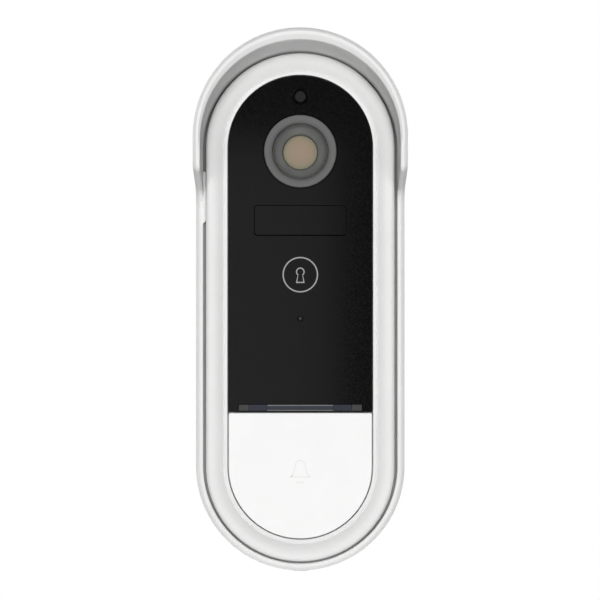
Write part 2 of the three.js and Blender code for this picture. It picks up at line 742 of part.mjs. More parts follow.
function speaker() {
  const { halfWidth, bottom, top, back, front } = SPEAKER;
  const frame = slab(roundedBox(-halfWidth, halfWidth, bottom, top, 3), back, front);
  const rim = 1.6;
  const dishOutline = roundedBox(-halfWidth + rim, halfWidth - rim, bottom + rim, top - rim, 2.4);
  const dish = slab(dishOutline, front - 0.9, front + 1);
  const dome = slab(roundedBox(-6, 6, -17.5, -12.5, 2.4), front - 1, front - 0.2, 0.3);
  return joined(cut(frame, dish), dome);
}

/** Foam on three sides of the speaker. Its open side lets the sound down to the slit. */
function speakerGasket() {
  const { halfWidth, bottom, top, front } = SPEAKER;
  const outer = slab(roundedBox(-halfWidth, halfWidth, bottom, top, 3), front + 0.1, FACE_BACK - 0.15);
  const side = halfWidth - 1.5;
  return cut(outer, block([-side, side], [front - 1, FACE_BACK + 1], [bottom - 1, top - 1.5]));
}

// Doorbell button.

function buttonCap() {
  const top = FACE_BOTTOM - BUTTON_TOP_GAP;
  const back = 34.0;
  const skirtEnd = 30.4;
  const skirtRadius = 16.9;
  const wall = 1.2;
  const cap = slab(pillFoot(APERTURE_RADIUS - BUTTON_GAP, top), back, BUTTON_FRONT, 0.35);
  const skirt = cut(
    slab(pillFoot(skirtRadius, top - 2), skirtEnd, back + 0.5),
    slab(pillFoot(skirtRadius - wall, top - 2 - wall), skirtEnd - 1, back + 0.2),
  );
  const post = rod(1.7, 31.3, back + 0.5, 0, BUTTON_Z);
  const hooks = [-1, 1].map((side) => {
    const x = [side * (skirtRadius - 0.5), side * (skirtRadius + 1)].sort((a, b) => a - b);
    return block(x, [skirtEnd, skirtEnd + 0.8], [-40, -36]);
  });
  return joined(cap, skirt, post, ...hooks);
}

function buttonSeal() {
  const from = MAIN_BOARD.front + 0.4;
  const sheet = slab(pillFoot(16.3, -30.5), from, from + 0.6);
  return cut(sheet, block([-3.6, 3.6], [from - 1, from + 2], [BUTTON_Z - 3.6, BUTTON_Z + 3.6]));
}

function buttonSwitch() {
  const from = MAIN_BOARD.front + FIT;
  const box = slab(roundedBox(-3, 3, BUTTON_Z - 3, BUTTON_Z + 3, 0.4), from, 30.7);
  return cut(box, rod(1.8, 28.6, 32, 0, BUTTON_Z));
}

function switchStem() {
  return rod(1.5, 29.6, 31.2, 0, BUTTON_Z);
}

// Boards, charging port and the rest.

function mainBoard() {
  const { back, front } = MAIN_BOARD;
  const base = slab(roundedBox(-22, 22, -56, 16.4, 1), back, front);
  const arm = slab(roundedBox(-22, -14.6, 10, 37, 1), back, front);
  const room = slab(pill(22.3), back - 1, front + 1);
  return joined(base, arm).intersect(room);
}

function wifiModule() {
  const from = MAIN_BOARD.front + FIT;
  const board = slab(roundedBox(4, 18, 0.5, 15.5, 0.5), from, from + 0.8);
  return joined(board, slab(roundedBox(4.8, 17.2, 1.3, 11.5, 0.5), from + 0.7, from + 2.2));
}

function antenna() {
  return block([22.25, 22.65], [22, 29], [16, 38]);
}

function chargingSocket() {
  const { bottom, top, back, front } = PORT;
  const shell = block([-22.6, -15.4], [back, front], [bottom, top]);
  const mouth = block([-23, -16.6], [back + 0.35, front - 0.35], [bottom + 0.35, top - 0.35]);
  const middle = (back + front) / 2;
  const tongue = block([-22, -16], [middle - 0.35, middle + 0.35], [bottom + 1.2, top - 1.2]);
  return joined(cut(shell, mouth), tongue);
}

function resetSwitch() {
  const box = block([-22, -18.6], [MAIN_BOARD.front + FIT, 29.7], [RESET.z - 1.4, RESET.z + 1.4]);
  const play = 0.65;
  const wellDepth = [RESET.depth - play, RESET.depth + play];
  const well = block([-23, -20.8], wellDepth, [RESET.z - play, RESET.z + play]);
  return cut(box, well);
}

function resetKey() {
  return block([-23.3, -21.2], [RESET.depth - 0.5, RESET.depth + 0.5], [RESET.z - 0.5, RESET.z + 0.5]);
}

/** The rubber flap over the charging socket, with a notch for a nail at its lower end. */
function portFlap() {
  const { bottom, top, back, front, outside, inside } = FLAP;
  const plate = block([outside, inside], [back, front], [bottom, top]);
  const plugEnd = -23.1;
  const plugDepth = [PORT.back + 0.2, PORT.front - 0.2];
  const plug = block([inside - 0.2, plugEnd], plugDepth, [PORT.bottom + 1.2, PORT.top - 0.6]);
  const notchDepth = [back + 1.5, front - 1.5];
  const notch = block([outside - 1, outside + 0.4], notchDepth, [bottom - 1, bottom + 0.7]);
  return cut(joined(plate, plug), notch);
}

function pressureVent() {
  const from = BODY_BACK + REAR_WALL + FIT;
  return rod(3, from, from + 0.4, -13, 27);
}

// The object.

const doorbell = new THREE.Group();

function add(name, shape, finish) {
  const { vertProperties, triVerts } = shape.getMesh();
  const geometry = new THREE.BufferGeometry();
  geometry.setAttribute("position", new THREE.BufferAttribute(vertProperties, 3));
  geometry.setIndex(new THREE.BufferAttribute(triVerts, 1));
  geometry.computeVertexNormals();
  const mesh = new THREE.Mesh(geometry, new THREE.MeshStandardMaterial(FINISHES[finish]));
  mesh.name = name;
  doorbell.add(mesh);
}

add("rain_cover", rainCover(), "white_cover");
add("mounting_bracket", mountingBracket(), "black_plastic");
add("bracket_screw_upper", bracketScrew(BRACKET_SCREWS.upper), "steel");
add("bracket_screw_lower", bracketScrew(BRACKET_SCREWS.lower), "steel");
add("security_screw", securityScrew(), "steel");

add("front_bezel", frontBezel(), "white_casing");
add("rear_housing", rearHousing(), "white_casing");
add("casing_seal", casingSeal(), "dark_rubber");
CASING_SCREWS.forEach((place) => add(place.name, casingScrew(place), "steel"));

add("battery_door", batteryDoor(), "white_casing");
add("battery_door_seal", batteryDoorSeal(), "dark_rubber");
add("battery_door_screw_left", doorScrew(DOOR_SCREWS.left), "steel");
add("battery_door_screw_right", doorScrew(DOOR_SCREWS.right), "steel");
add("battery_cell_left", batteryCell(-CELL.x, true), "cell_sleeve");
add("battery_cell_right", batteryCell(CELL.x, false), "cell_sleeve");
add("battery_contact_upper", batteryContact(CELL.top + 0.2, CELL.top + 0.7), "nickel");
add("battery_contact_lower", batteryContact(CELL.bottom - 0.7, CELL.bottom - 0.2), "nickel");

add("face_plate", facePlate(), "black_gloss");
add("motion_sensor_window", motionWindow(), "black_gloss");
add("light_sensor_window", lightSensorWindow(), "smoked_glass");
add("slot_window", slotWindow(), "smoked_glass");
add("speaker_mesh", speakerMesh(), "black_plastic");
add("status_led_left", statusLed(-12.5), "white_casing");
add("status_led_right", statusLed(12.5), "white_casing");

add("lens_ring", lensRing(), "grey_metal");
add("lens_window", lensWindow(), "clear_glass");
add("lens_barrel", lensBarrel(), "grey_metal");
add("front_lens", frontLens(), "coated_lens");
add("lens_holder", lensHolder(), "black_plastic");
add("filter_slide", filterSlide(), "black_plastic");
add("infrared_cut_pane", filterPane(0), "cyan_filter");
add("clear_pane", filterPane(-FILTER.travel), "clear_glass");
add("image_sensor", imageSensor(), "black_gloss");
add("camera_board", cameraBoard(), "circuit_board");
add("sensor_board", sensorBoard(), "circuit_board");
for (const [level, up] of [["upper", 1], ["lower", -1]]) {
  for (const [side, right] of [["left", -1], ["right", 1]]) {
    const led = infraredLed(right * LED_REACH, LENS_Z + up * LED_REACH);
    add(`infrared_led_${level}_${side}`, led, "clear_glass");
  }
}
add("light_sensor", lightSensor(), "black_plastic");
add("motion_sensor", motionSensor(), "steel");

add("microphone", microphone(), "steel");
add("microphone_boot", microphoneBoot(), "dark_rubber");
add("speaker", speaker(), "black_plastic");
add("speaker_gasket", speakerGasket(), "dark_rubber");

add("button_cap", buttonCap(), "white_button");
add("button_seal", buttonSeal(), "dark_rubber");
add("button_switch", buttonSwitch(), "black_plastic");
add("button_switch_stem", switchStem(), "black_plastic");

add("main_board", mainBoard(), "circuit_board");
add("wifi_module", wifiModule(), "steel");
add("antenna", antenna(), "black_plastic");
add("charging_socket", chargingSocket(), "steel");
add("reset_switch", resetSwitch(), "black_plastic");
add("reset_key", resetKey(), "white_casing");
add("port_flap", portFlap(), "white_rubber");
add("pressure_vent", pressureVent(), "white_rubber");

export default doorbell;
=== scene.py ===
"""The looks of a battery video doorbell in its rain cover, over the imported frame.

Shapes are drawn in millimetres as (x, depth, z): x to the visitor's right, depth out from the
wall and z up. They become metres with y = -depth when their mesh is made.
"""

from math import cos, pi, radians, sin, sqrt

import bmesh
import bpy
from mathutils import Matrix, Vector

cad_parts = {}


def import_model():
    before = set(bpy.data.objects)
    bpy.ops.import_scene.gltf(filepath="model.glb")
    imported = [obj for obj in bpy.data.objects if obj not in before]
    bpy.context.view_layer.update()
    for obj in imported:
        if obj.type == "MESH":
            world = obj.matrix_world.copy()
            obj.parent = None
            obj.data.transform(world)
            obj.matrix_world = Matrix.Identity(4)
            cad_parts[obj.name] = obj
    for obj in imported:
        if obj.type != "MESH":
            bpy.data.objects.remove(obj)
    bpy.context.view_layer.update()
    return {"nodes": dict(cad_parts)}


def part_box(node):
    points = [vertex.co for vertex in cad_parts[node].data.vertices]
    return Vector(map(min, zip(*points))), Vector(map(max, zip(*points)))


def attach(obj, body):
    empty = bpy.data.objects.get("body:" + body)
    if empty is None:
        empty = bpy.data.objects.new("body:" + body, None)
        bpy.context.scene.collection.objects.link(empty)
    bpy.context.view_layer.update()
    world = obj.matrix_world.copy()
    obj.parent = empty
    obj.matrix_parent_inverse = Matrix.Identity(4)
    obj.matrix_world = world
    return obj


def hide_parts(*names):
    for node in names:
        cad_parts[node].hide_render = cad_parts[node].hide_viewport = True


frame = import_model()

MM = 0.001


def limits(node):
    """The (lowest, highest) x, depth and z of a CAD node, in millimetres."""
    low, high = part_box(node)
    return (low[0] / MM, high[0] / MM), (-high[1] / MM, -low[1] / MM), (low[2] / MM, high[2] / MM)


def middle(span):
    return (span[0] + span[1]) / 2


def centre(node):
    """The (x, z) of the middle of a CAD node."""
    return middle(limits(node)[0]), middle(limits(node)[2])


# Driving dimensions, from the frame where a CAD node gives them.
COVER_X, COVER_DEPTH, COVER_Z = limits("rain_cover")
HOUSING_X, HOUSING_DEPTH, HOUSING_Z = limits("rear_housing")
BEZEL_DEPTH, BEZEL_Z = limits("front_bezel")[1:]
FACE_X, FACE_DEPTH, FACE_Z = limits("face_plate")
BUTTON_X, BUTTON_DEPTH, BUTTON_Z = limits("button_cap")
RING_X, RING_DEPTH, RING_Z = limits("lens_ring")
DOOR_X, DOOR_DEPTH, DOOR_Z = limits("battery_door")
BRACKET_X, BRACKET_DEPTH, BRACKET_Z = limits("mounting_bracket")
SLOT_X, SLOT_DEPTH, SLOT_Z = limits("slot_window")

COVER_RADIUS = COVER_X[1]
BODY_RADIUS = HOUSING_X[1]
ARC_Z = HOUSING_Z[1] - BODY_RADIUS  # height of the centres of the pill's round ends
HOOD_DEPTH = COVER_DEPTH[1]
LENS_Z = middle(RING_Z)
LIGHT_SENSOR_Z = middle(limits("light_sensor_window")[2])
MICROPHONE_Z = middle(limits("microphone")[2])

COVER_WALL = 1.95
COVER_FLOOR = 2.0
RIM_DEPTH = 34.5
BEVEL = (0.95, 0.72)  # width and depth of the slant along the rim's outside
RIDGE = 0.7  # width of the ridge beside it
RIDGE_FALL = 0.22  # how far the ridge leans inwards on the rim; it is level on the hood
LIP_TILT = 0.85  # steepness of the slant from the ridge to the inside
LIP_ROUND = 0.3
GROOVE_DEPTH = 33.0  # floor of the groove between the rim and the body
TRAY_RADIUS = BODY_RADIUS + 0.2
HOOD_RISE = 2.1
HOOD_RISE_INSIDE = 1.6
HOOD_DROP_INSIDE = 0.45
RISE_START = 38.0  # height at which the hood's sides begin to rise
LUG = {"bottom": 21.4, "top": 35.9, "front": 34.3, "slant": 1.4}
SECURITY_DEPTH = middle(limits("security_screw")[1])
PAD = {"radius": 2.25, "height": 0.75}
WALL_HOLES = (30, -30)  # heights of the holes for the wall screws
WALL_HOLE_RADIUS = 2.2
BRACKET_SCREWS = (12, -12)
SCREW_HOLE_RADIUS = 1.35  # of a hole that a screw bites into
PEGS = (50, -58.5)  # heights of the bracket's pegs, which fit holes in the casing
PEG_RADIUS = 2.4
DOOR_CORNER = 7.5

BEZEL_FILLET = 1.2
LAND_DEPTH = 35.7  # flat band at the bezel's inner edge
LAND_WIDTH = 1.0
SLOPE_END = 35.4  # foot of the bezel's slope, just before that band
APERTURE_RADIUS = 19.25  # the bezel's opening
LEDGE_RADIUS = 17.4  # the ledge inside it, which the face rests on
LEDGE_BACK, LEDGE_FRONT = 31.6, 33.2
BODY_WALL = 2.0
LENS_HOLE_RADIUS = 9.85
BUTTON_POST_Z = -44

ARC_STEPS = 72
GRAIN = 0.35  # mm, spacing of the fine texture on the mouldings


# Shapes.


def arc(x, z, radius, start, end, steps):
    turns = [start + (end - start) * i / steps for i in range(steps + 1)]
    return [(x + radius * cos(turn), z + radius * sin(turn)) for turn in turns]


def pill(radius, arc_z=ARC_Z):
    """Each outline is a function of how far it is set in, and returns its (x, z) points."""

    def outline(inset):
        upper = arc(0, arc_z, radius - inset, 0, pi, ARC_STEPS)
        lower = arc(0, -arc_z, radius - inset, pi, 2 * pi, ARC_STEPS)
        return upper + lower

    return outline


def circle(radius, x=0.0, z=0.0, steps=64):
    return lambda inset: arc(x, z, radius - inset, 0, 2 * pi * (1 - 1 / steps), steps - 1)


def rounded_box(x_span, z_span, corner, steps=8):
    def outline(inset):
        left, right = x_span[0] + inset, x_span[1] - inset
        bottom, top = z_span[0] + inset, z_span[1] - inset
        radius = max(corner - inset, 0.02)
        centres = (
            (right - radius, top - radius),
            (left + radius, top - radius),
            (left + radius, bottom + radius),
            (right - radius, bottom + radius),
        )
        points = []
        for quarter, (x, z) in enumerate(centres):
            points += arc(x, z, radius, quarter * pi / 2, (quarter + 1) * pi / 2, steps)
        return points

    return outline


def pill_foot(radius, top, corner):
    """The round lower end of a pill, cut straight at its top, with small corners there."""

    def outline(inset):
        reach = radius - inset
        small = max(corner - inset, 0.02)
        corner_z = top - inset - small
        lower = arc(0, -ARC_Z, reach, pi, 2 * pi, ARC_STEPS)
        right = arc(reach - small, corner_z, small, 0, pi / 2, 6)
        left = arc(small - reach, corner_z, small, pi / 2, pi, 6)
        return lower + right + left

    return outline


def pill_head(radius, bottom, corner):
    """The round upper end of a pill, cut straight at its bottom, with small corners there."""

    def outline(inset):
        reach = radius - inset
        small = max(corner - inset, 0.02)
        corner_z = bottom + inset + small
        upper = arc(0, ARC_Z, reach, 0, pi, ARC_STEPS)
        left = arc(small - reach, corner_z, small, pi, 3 * pi / 2, 6)
        right = arc(reach - small, corner_z, small, 3 * pi / 2, 2 * pi, 6)
        return upper + left + right

    return outline


def polygon(points):
    """An outline of given points, moved in towards their middle."""
    centre_x = sum(x for x, z in points) / len(points)
    centre_z = sum(z for x, z in points) / len(points)

    def outline(inset):
        moved = []
        for x, z in points:
            away = Vector((x - centre_x, z - centre_z))
            share = 1 - inset / away.length
            moved.append((centre_x + away.x * share, centre_z + away.y * share))
        return moved

    return outline


def skin(loops, closed=False):
    """A bmesh through loops of (x, depth, z), capped at both ends or closed on itself."""
    shape = bmesh.new()
    rings = []
    for loop in loops:
        rings.append([shape.verts.new((x * MM, -depth * MM, z * MM)) for x, depth, z in loop])
    pairs = list(zip(rings, rings[1:]))
    if closed:
        pairs.append((rings[-1], rings[0]))
    for lower, upper in pairs:
        for i, corner in enumerate(lower):
            following = (i + 1) % len(lower)
            shape.faces.new((corner, lower[following], upper[following], upper[i]))
    if not closed:
        shape.faces.new(rings[0])
        shape.faces.new(reversed(rings[-1]))
    bmesh.ops.remove_doubles(shape, verts=shape.verts, dist=1e-7)
    bmesh.ops.recalc_face_normals(shape, faces=shape.faces)
    return shape


def layered(outline, rows, closed=False):
    """The outline skinned through rows of (inset, depth)."""
    if not closed:
        support = 0.04  # a narrow band that keeps the shading of each flat end even
        first, last = rows[0], rows[-1]
        rows = [(first[0] + support, first[1]), *rows, (last[0] + support, last[1])]
    loops = [[(x, depth, z) for x, z in outline(inset)] for inset, depth in rows]
    return skin(loops, closed)


def fillet(inset, depth, radius, towards, steps=5):
    """Rows of a rounded edge from a wall at the inset to a face at the depth."""
    rows = []
    for i in range(steps + 1):
        turn = pi / 2 * i / steps
        rows.append((inset + radius * (1 - cos(turn)), depth - towards * radius * (1 - sin(turn))))
    return rows


def plate(outline, back, front, back_edge=0.15, front_edge=0.15):
    """A flat piece with rounded edges."""
    rows = fillet(0, back, back_edge, -1)[::-1] + fillet(0, front, front_edge, 1)
    return layered(outline, rows)


def upright(radius, bottom, top, depth, steps=40):
    """A rod along the height, between two z."""
    ring = arc(0, 0, radius, 0, 2 * pi * (1 - 1 / steps), steps - 1)
    return skin([[(x, depth + y, z) for x, y in ring] for z in (bottom, top)])


def block(x_span, depth_span, z_span):
    left, right = x_span
    bottom, top = z_span
    corners = [(left, bottom), (right, bottom), (right, top), (left, top)]
    return skin([[(x, depth, z) for x, z in corners] for depth in depth_span])


def together(*shapes):
    """Several bmeshes in one, without joining their surfaces."""
    whole = shapes[0]
    for other in shapes[1:]:
        mesh = bpy.data.meshes.new("part")
        other.to_mesh(mesh)
        other.free()
        whole.from_mesh(mesh)
        bpy.data.meshes.remove(mesh)
    return whole


def combined(base, tool, operation):
    """The exact boolean of two bmeshes."""
    helpers = []
    for shape in (base, tool):
        mesh = bpy.data.meshes.new("helper")
        shape.to_mesh(mesh)
        shape.free()
        helper = bpy.data.objects.new("helper", mesh)
        bpy.context.scene.collection.objects.link(helper)
        helpers.append(helper)
    target, other = helpers
    modifier = target.modifiers.new("boolean", "BOOLEAN")
    modifier.operation = operation
    modifier.object = other
    modifier.solver = "EXACT"
    result = bmesh.new()
    result.from_object(target, bpy.context.evaluated_depsgraph_get())
    for helper in helpers:
        mesh = helper.data
        bpy.data.objects.remove(helper)
        bpy.data.meshes.remove(mesh)
    return result


def cut(base, *tools):
    for tool in tools:
        base = combined(base, tool, "DIFFERENCE")
    return base


def joined(base, *others):
    for other in others:
        base = combined(base, other, "UNION")
    return base


def piece(name, shape, body, material, slot, *nodes, sharp=32):
    """A finished piece that rides on a body and stands for the given CAD nodes."""
    mesh = bpy.data.meshes.new(name)
    shape.to_mesh(mesh)
    shape.free()
    mesh.materials.append(material)
    mesh.shade_smooth()
    mesh.set_sharp_from_angle(angle=radians(sharp))
    made = bpy.data.objects.new(name, mesh)
    bpy.context.scene.collection.objects.link(made)
    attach(made, body)
    if nodes:
        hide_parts(*nodes)
    return made


# Materials.


def new_material(name):
    material = bpy.data.materials.new(name)
    material.use_nodes = True
    shader = material.node_tree.nodes["Principled BSDF"]
    return material, material.node_tree, shader


def noise(tree, spacing, detail=3.0, stretch=(1, 1, 1)):
    """Noise in the object's own space, with features about spacing millimetres apart."""
    place = tree.nodes.new("ShaderNodeTexCoord")
    mapping = tree.nodes.new("ShaderNodeMapping")
    mapping.inputs["Scale"].default_value = stretch
    texture = tree.nodes.new("ShaderNodeTexNoise")
    texture.inputs["Scale"].default_value = 1 / (spacing * MM)
    texture.inputs["Detail"].default_value = detail
    tree.links.new(place.outputs["Object"], mapping.inputs["Vector"])
    tree.links.new(mapping.outputs["Vector"], texture.inputs["Vector"])
    return texture.outputs["Fac"]


def spread(tree, source, low, high):
    """The source's values spread evenly between low and high."""
    node = tree.nodes.new("ShaderNodeMapRange")
    node.inputs["From Min"].default_value = 0.3
    node.inputs["From Max"].default_value = 0.7
    node.inputs["To Min"].default_value = low
    node.inputs["To Max"].default_value = high
    tree.links.new(source, node.inputs["Value"])
    return node.outputs["Result"]


def tint(tree, source, colors):
    """A colour ramp: colors is a list of (position, colour)."""
    ramp = tree.nodes.new("ShaderNodeValToRGB")
    elements = ramp.color_ramp.elements
    while len(elements) < len(colors):
        elements.new(0.5)
    for element, (position, color) in zip(elements, colors):
        element.position = position
        element.color = (*color, 1)
    tree.links.new(source, ramp.inputs["Fac"])
    return ramp.outputs["Color"]


def roughen(tree, shader, source, height, strength=1.0):
    """Relief of a given height in millimetres."""
    bump = tree.nodes.new("ShaderNodeBump")
    bump.inputs["Distance"].default_value = height * MM
    bump.inputs["Strength"].default_value = strength
    tree.links.new(source, bump.inputs["Height"])
    tree.links.new(bump.outputs["Normal"], shader.inputs["Normal"])


def shade(color, factor):
    return tuple(min(1.0, channel * factor) for channel in color)


def moulded(name, color, roughness, grain=GRAIN, relief=0.004, variation=0.02, specular=0.5):
    """Moulded plastic or rubber: fine relief, uneven gloss and slightly cloudy colour."""
    material, tree, shader = new_material(name)
    cloud = noise(tree, 9.0, 2.0)
    colors = [(0.35, shade(color, 1 - variation)), (0.65, shade(color, 1 + variation))]
    tree.links.new(tint(tree, cloud, colors), shader.inputs["Base Color"])
    fine = noise(tree, grain, 4.0)
    gloss = spread(tree, fine, roughness - 0.04, roughness + 0.05)
    tree.links.new(gloss, shader.inputs["Roughness"])
    shader.inputs["Specular IOR Level"].default_value = specular
    roughen(tree, shader, fine, relief)
    return material


def metal(name, color, roughness, stretch=(1, 1, 1), relief=0.002):
    """Bare metal with fine machining marks."""
    material, tree, shader = new_material(name)
    marks = noise(tree, 0.3, 5.0, stretch)
    colors = [(0.3, shade(color, 0.9)), (0.7, color)]
    tree.links.new(tint(tree, marks, colors), shader.inputs["Base Color"])
    tree.links.new(spread(tree, marks, roughness - 0.06, roughness + 0.08), shader.inputs["Roughness"])
    shader.inputs["Metallic"].default_value = 1.0
    roughen(tree, shader, marks, relief)
    return material


def circuit_board(name):
    """Green solder mask with tracks in straight runs under it."""
    material, tree, shader = new_material(name)
    place = tree.nodes.new("ShaderNodeTexCoord")
    tracks = tree.nodes.new("ShaderNodeTexBrick")
    tracks.offset = 0.37
    tracks.inputs["Scale"].default_value = 1 / (5 * MM)
    tracks.inputs["Brick Width"].default_value = 3.1
    tracks.inputs["Row Height"].default_value = 0.13
    tracks.inputs["Mortar Size"].default_value = 0.014
    tracks.inputs["Color1"].default_value = (0.010, 0.085, 0.032, 1)
    tracks.inputs["Color2"].default_value = (0.014, 0.105, 0.040, 1)
    tracks.inputs["Mortar"].default_value = (0.018, 0.130, 0.048, 1)
    turn = tree.nodes.new("ShaderNodeMapping")
    turn.inputs["Rotation"].default_value = (pi / 2, 0, 0)
    tree.links.new(place.outputs["Object"], turn.inputs["Vector"])
    tree.links.new(turn.outputs["Vector"], tracks.inputs["Vector"])
    tree.links.new(tracks.outputs["Color"], shader.inputs["Base Color"])
    tree.links.new(spread(tree, noise(tree, 0.6), 0.3, 0.42), shader.inputs["Roughness"])
    roughen(tree, shader, tracks.outputs["Fac"], 0.03, 0.6)
    return material


def clear(name, color, alpha, roughness=0.04):
    """Thin clear glass or plastic, seen mostly through."""
    material, tree, shader = new_material(name)
    shader.inputs["Base Color"].default_value = (*color, 1)
    shader.inputs["Alpha"].default_value = alpha
    smear = noise(tree, 2.5, 2.0)
    tree.links.new(spread(tree, smear, roughness, roughness + 0.03), shader.inputs["Roughness"])
    return material


def radial(name, z, radius, colors, roughness, relief=0.002):
    """A turned surface about a line out from the wall, its colour changing with the radius."""
    material, tree, shader = new_material(name)
    place = tree.nodes.new("ShaderNodeTexCoord")
    mapping = tree.nodes.new("ShaderNodeMapping")
    mapping.inputs["Location"].default_value = (0, 0, -z / radius)
    mapping.inputs["Scale"].default_value = (1 / (radius * MM), 0, 1 / (radius * MM))
    length = tree.nodes.new("ShaderNodeVectorMath")
    length.operation = "LENGTH"
    tree.links.new(place.outputs["Object"], mapping.inputs["Vector"])
    tree.links.new(mapping.outputs["Vector"], length.inputs[0])
    tree.links.new(tint(tree, length.outputs["Value"], colors), shader.inputs["Base Color"])
    fine = noise(tree, 0.25, 4.0)
    tree.links.new(spread(tree, fine, roughness - 0.03, roughness + 0.05), shader.inputs["Roughness"])
    shader.inputs["Specular IOR Level"].default_value = 0.2
    roughen(tree, shader, fine, relief)
    return material


WHITE = (0.80, 0.80, 0.795)

cover_white = moulded("cover_white", shade(WHITE, 0.97), 0.42, variation=0.01)
# The hood's inside gets a darker copy of the cover's white: painted shade under the hood, over a real
# matte grain. The groove's floor gets a grey: painted shade in the gap between the rim and the body.
hood_shaded_white = moulded(
    "hood_shaded_white", shade(WHITE, 0.82), 0.62, grain=0.45, relief=0.05, variation=0.05
)
groove_painted_shade = moulded(
    "groove_painted_shade", shade(WHITE, 0.36), 0.7, grain=0.45, relief=0.05, variation=0.05
)
casing_white = moulded(
    "casing_white", shade(WHITE, 0.965), 0.5, relief=0.0015, variation=0.01, specular=0.3
)
button_white = moulded(
    "button_white", (0.85, 0.85, 0.847), 0.4, relief=0.0015, variation=0.008, specular=0.4
)
bell_grey = moulded("bell_grey", (0.74, 0.74, 0.735), 0.4, relief=0.0015)
face_black = moulded("face_black", (0.0015, 0.0015, 0.0016), 0.1, 0.6, 0.0004, 0.1, 0.28)
window_black = moulded("window_black", (0.0018, 0.0018, 0.0019), 0.11, 0.5, 0.0005, 0.1, 0.28)
sensor_grey = moulded("sensor_grey", (0.008, 0.008, 0.008), 0.6, variation=0.1, specular=0.15)
ring_grey = moulded("ring_grey", (0.112, 0.112, 0.112), 0.5, grain=0.25, relief=0.004, specular=0.25)
slot_grey = moulded("slot_grey", (0.045, 0.045, 0.044), 0.5, variation=0.05, specular=0.15)
slot_smoke = moulded("slot_smoke", (0.024, 0.026, 0.040), 0.5, variation=0.06, specular=0.15)
slot_slate = moulded("slot_slate", (0.040, 0.046, 0.062), 0.6, grain=0.12, relief=0.02, specular=0.15)
slot_lip = moulded("slot_lip", (0.11, 0.11, 0.11), 0.4, variation=0.04)
print_grey = moulded("print_grey", (0.30, 0.30, 0.30), 0.5, grain=0.2, relief=0.002)
bracket_black = moulded("bracket_black", (0.022, 0.022, 0.023), 0.5, relief=0.01, variation=0.08)
plastic_black = moulded("plastic_black", (0.018, 0.018, 0.019), 0.45, relief=0.006, variation=0.08)
rubber_dark = moulded("rubber_dark", (0.025, 0.025, 0.026), 0.75, relief=0.01, variation=0.1)
rubber_white = moulded("rubber_white", (0.74, 0.74, 0.73), 0.62, relief=0.008)
steel = metal("steel", (0.60, 0.61, 0.62), 0.3)
nickel = metal("nickel", (0.66, 0.63, 0.58), 0.28, stretch=(0.1, 1, 1))
cell_sleeve = moulded("cell_sleeve", (0.028, 0.15, 0.44), 0.3, grain=1.2, relief=0.01, variation=0.06)
board_green = circuit_board("board_green")
window_glass = clear("window_glass", (0.30, 0.32, 0.30), 0.06, 0.16)
filter_cyan = clear("filter_cyan", (0.25, 0.62, 0.72), 0.5)
led_clear = clear("led_clear", (0.8, 0.8, 0.82), 0.45, 0.1)
barrel_grey = radial(
    "barrel_grey", LENS_Z, 7.3,
    [(0.60, (0.114, 0.116, 0.101)), (0.78, (0.101, 0.101, 0.099)), (0.96, (0.077, 0.076, 0.075))],
    0.4,
)
pupil = radial(
    "pupil", LENS_Z, 4.55,
    [(0.0, (0.357, 0.246, 0.176)), (0.7, (0.315, 0.238, 0.157)), (1.0, (0.300, 0.275, 0.188))],
    0.5,
)


# Rain cover.


def curve(start, control, end, steps):
    """Points along a quadratic curve of (depth, z), without its last."""
    points = []
    for i in range(steps):
        t = i / steps
        a, b, c = (1 - t) ** 2, 2 * t * (1 - t), t * t
        points.append(tuple(a * p + b * q + c * r for p, q, r in zip(start, control, end)))
    return points


def side_edge():
    """The side's front edge upwards as (depth, z, inward direction): rim, sweep and hood."""
    rim = RIM_DEPTH
    foot, slant_foot = 27, (rim + 3.6, 31.4)  # where the sweep begins, and where it turns straight
    run, climb = 10, 3.3  # of the straight slant
    head, slant_head = 37.8, (HOOD_DEPTH - 2.4, 34.7)  # where the hood's edge turns upright
    points = [(rim, z) for z in (-ARC_Z, -30, -15, 0, 12, 18, 21, 24)]
    points += curve((rim, foot), (rim, 30.2), slant_foot, 14)
    points += [(slant_foot[0] + run * i / 6, slant_foot[1] + climb * i / 6) for i in range(6)]
    points += curve(slant_head, (HOOD_DEPTH, 35.4), (HOOD_DEPTH, head), 14)
    points += [(HOOD_DEPTH, z) for z in (head, 38.6, 39.6, 40.8, ARC_Z)]
    edge = []
    for i, (depth, z) in enumerate(points):
        before = points[max(i - 1, 0)]
        after = points[min(i + 1, len(points) - 1)]
        along = Vector((after[0] - before[0], after[1] - before[1])).normalized()
        edge.append((depth, z, (-along.y, along.x)))
    return edge


def cover_stations():
    """Where the cover's section stands, once round: (nx, nz, z, edge depth, inward direction)."""
    side = side_edge()
    turns = [pi * i / ARC_STEPS for i in range(1, ARC_STEPS)]
    straight_back = (-1.0, 0.0)
    stations = [(1.0, 0.0, z, depth, inward) for depth, z, inward in side]
    stations += [(cos(t), sin(t), ARC_Z, HOOD_DEPTH, straight_back) for t in turns]
    stations += [(-1.0, 0.0, z, depth, inward) for depth, z, inward in reversed(side)]
    stations += [(cos(pi + t), sin(pi + t), -ARC_Z, RIM_DEPTH, straight_back) for t in turns]
    return stations


def wall_point(station, radius, depth, rise, above=0.0):
    """A point of the cover at a depth, moved up the wall by above and by the hood's rise."""
    nx, nz, z = station[:3]
    weight = min(max((z - RISE_START) / (ARC_Z - RISE_START), 0.0), 1.0)
    return Vector((nx * radius, depth, z + nz * radius + above + weight * rise(depth)))


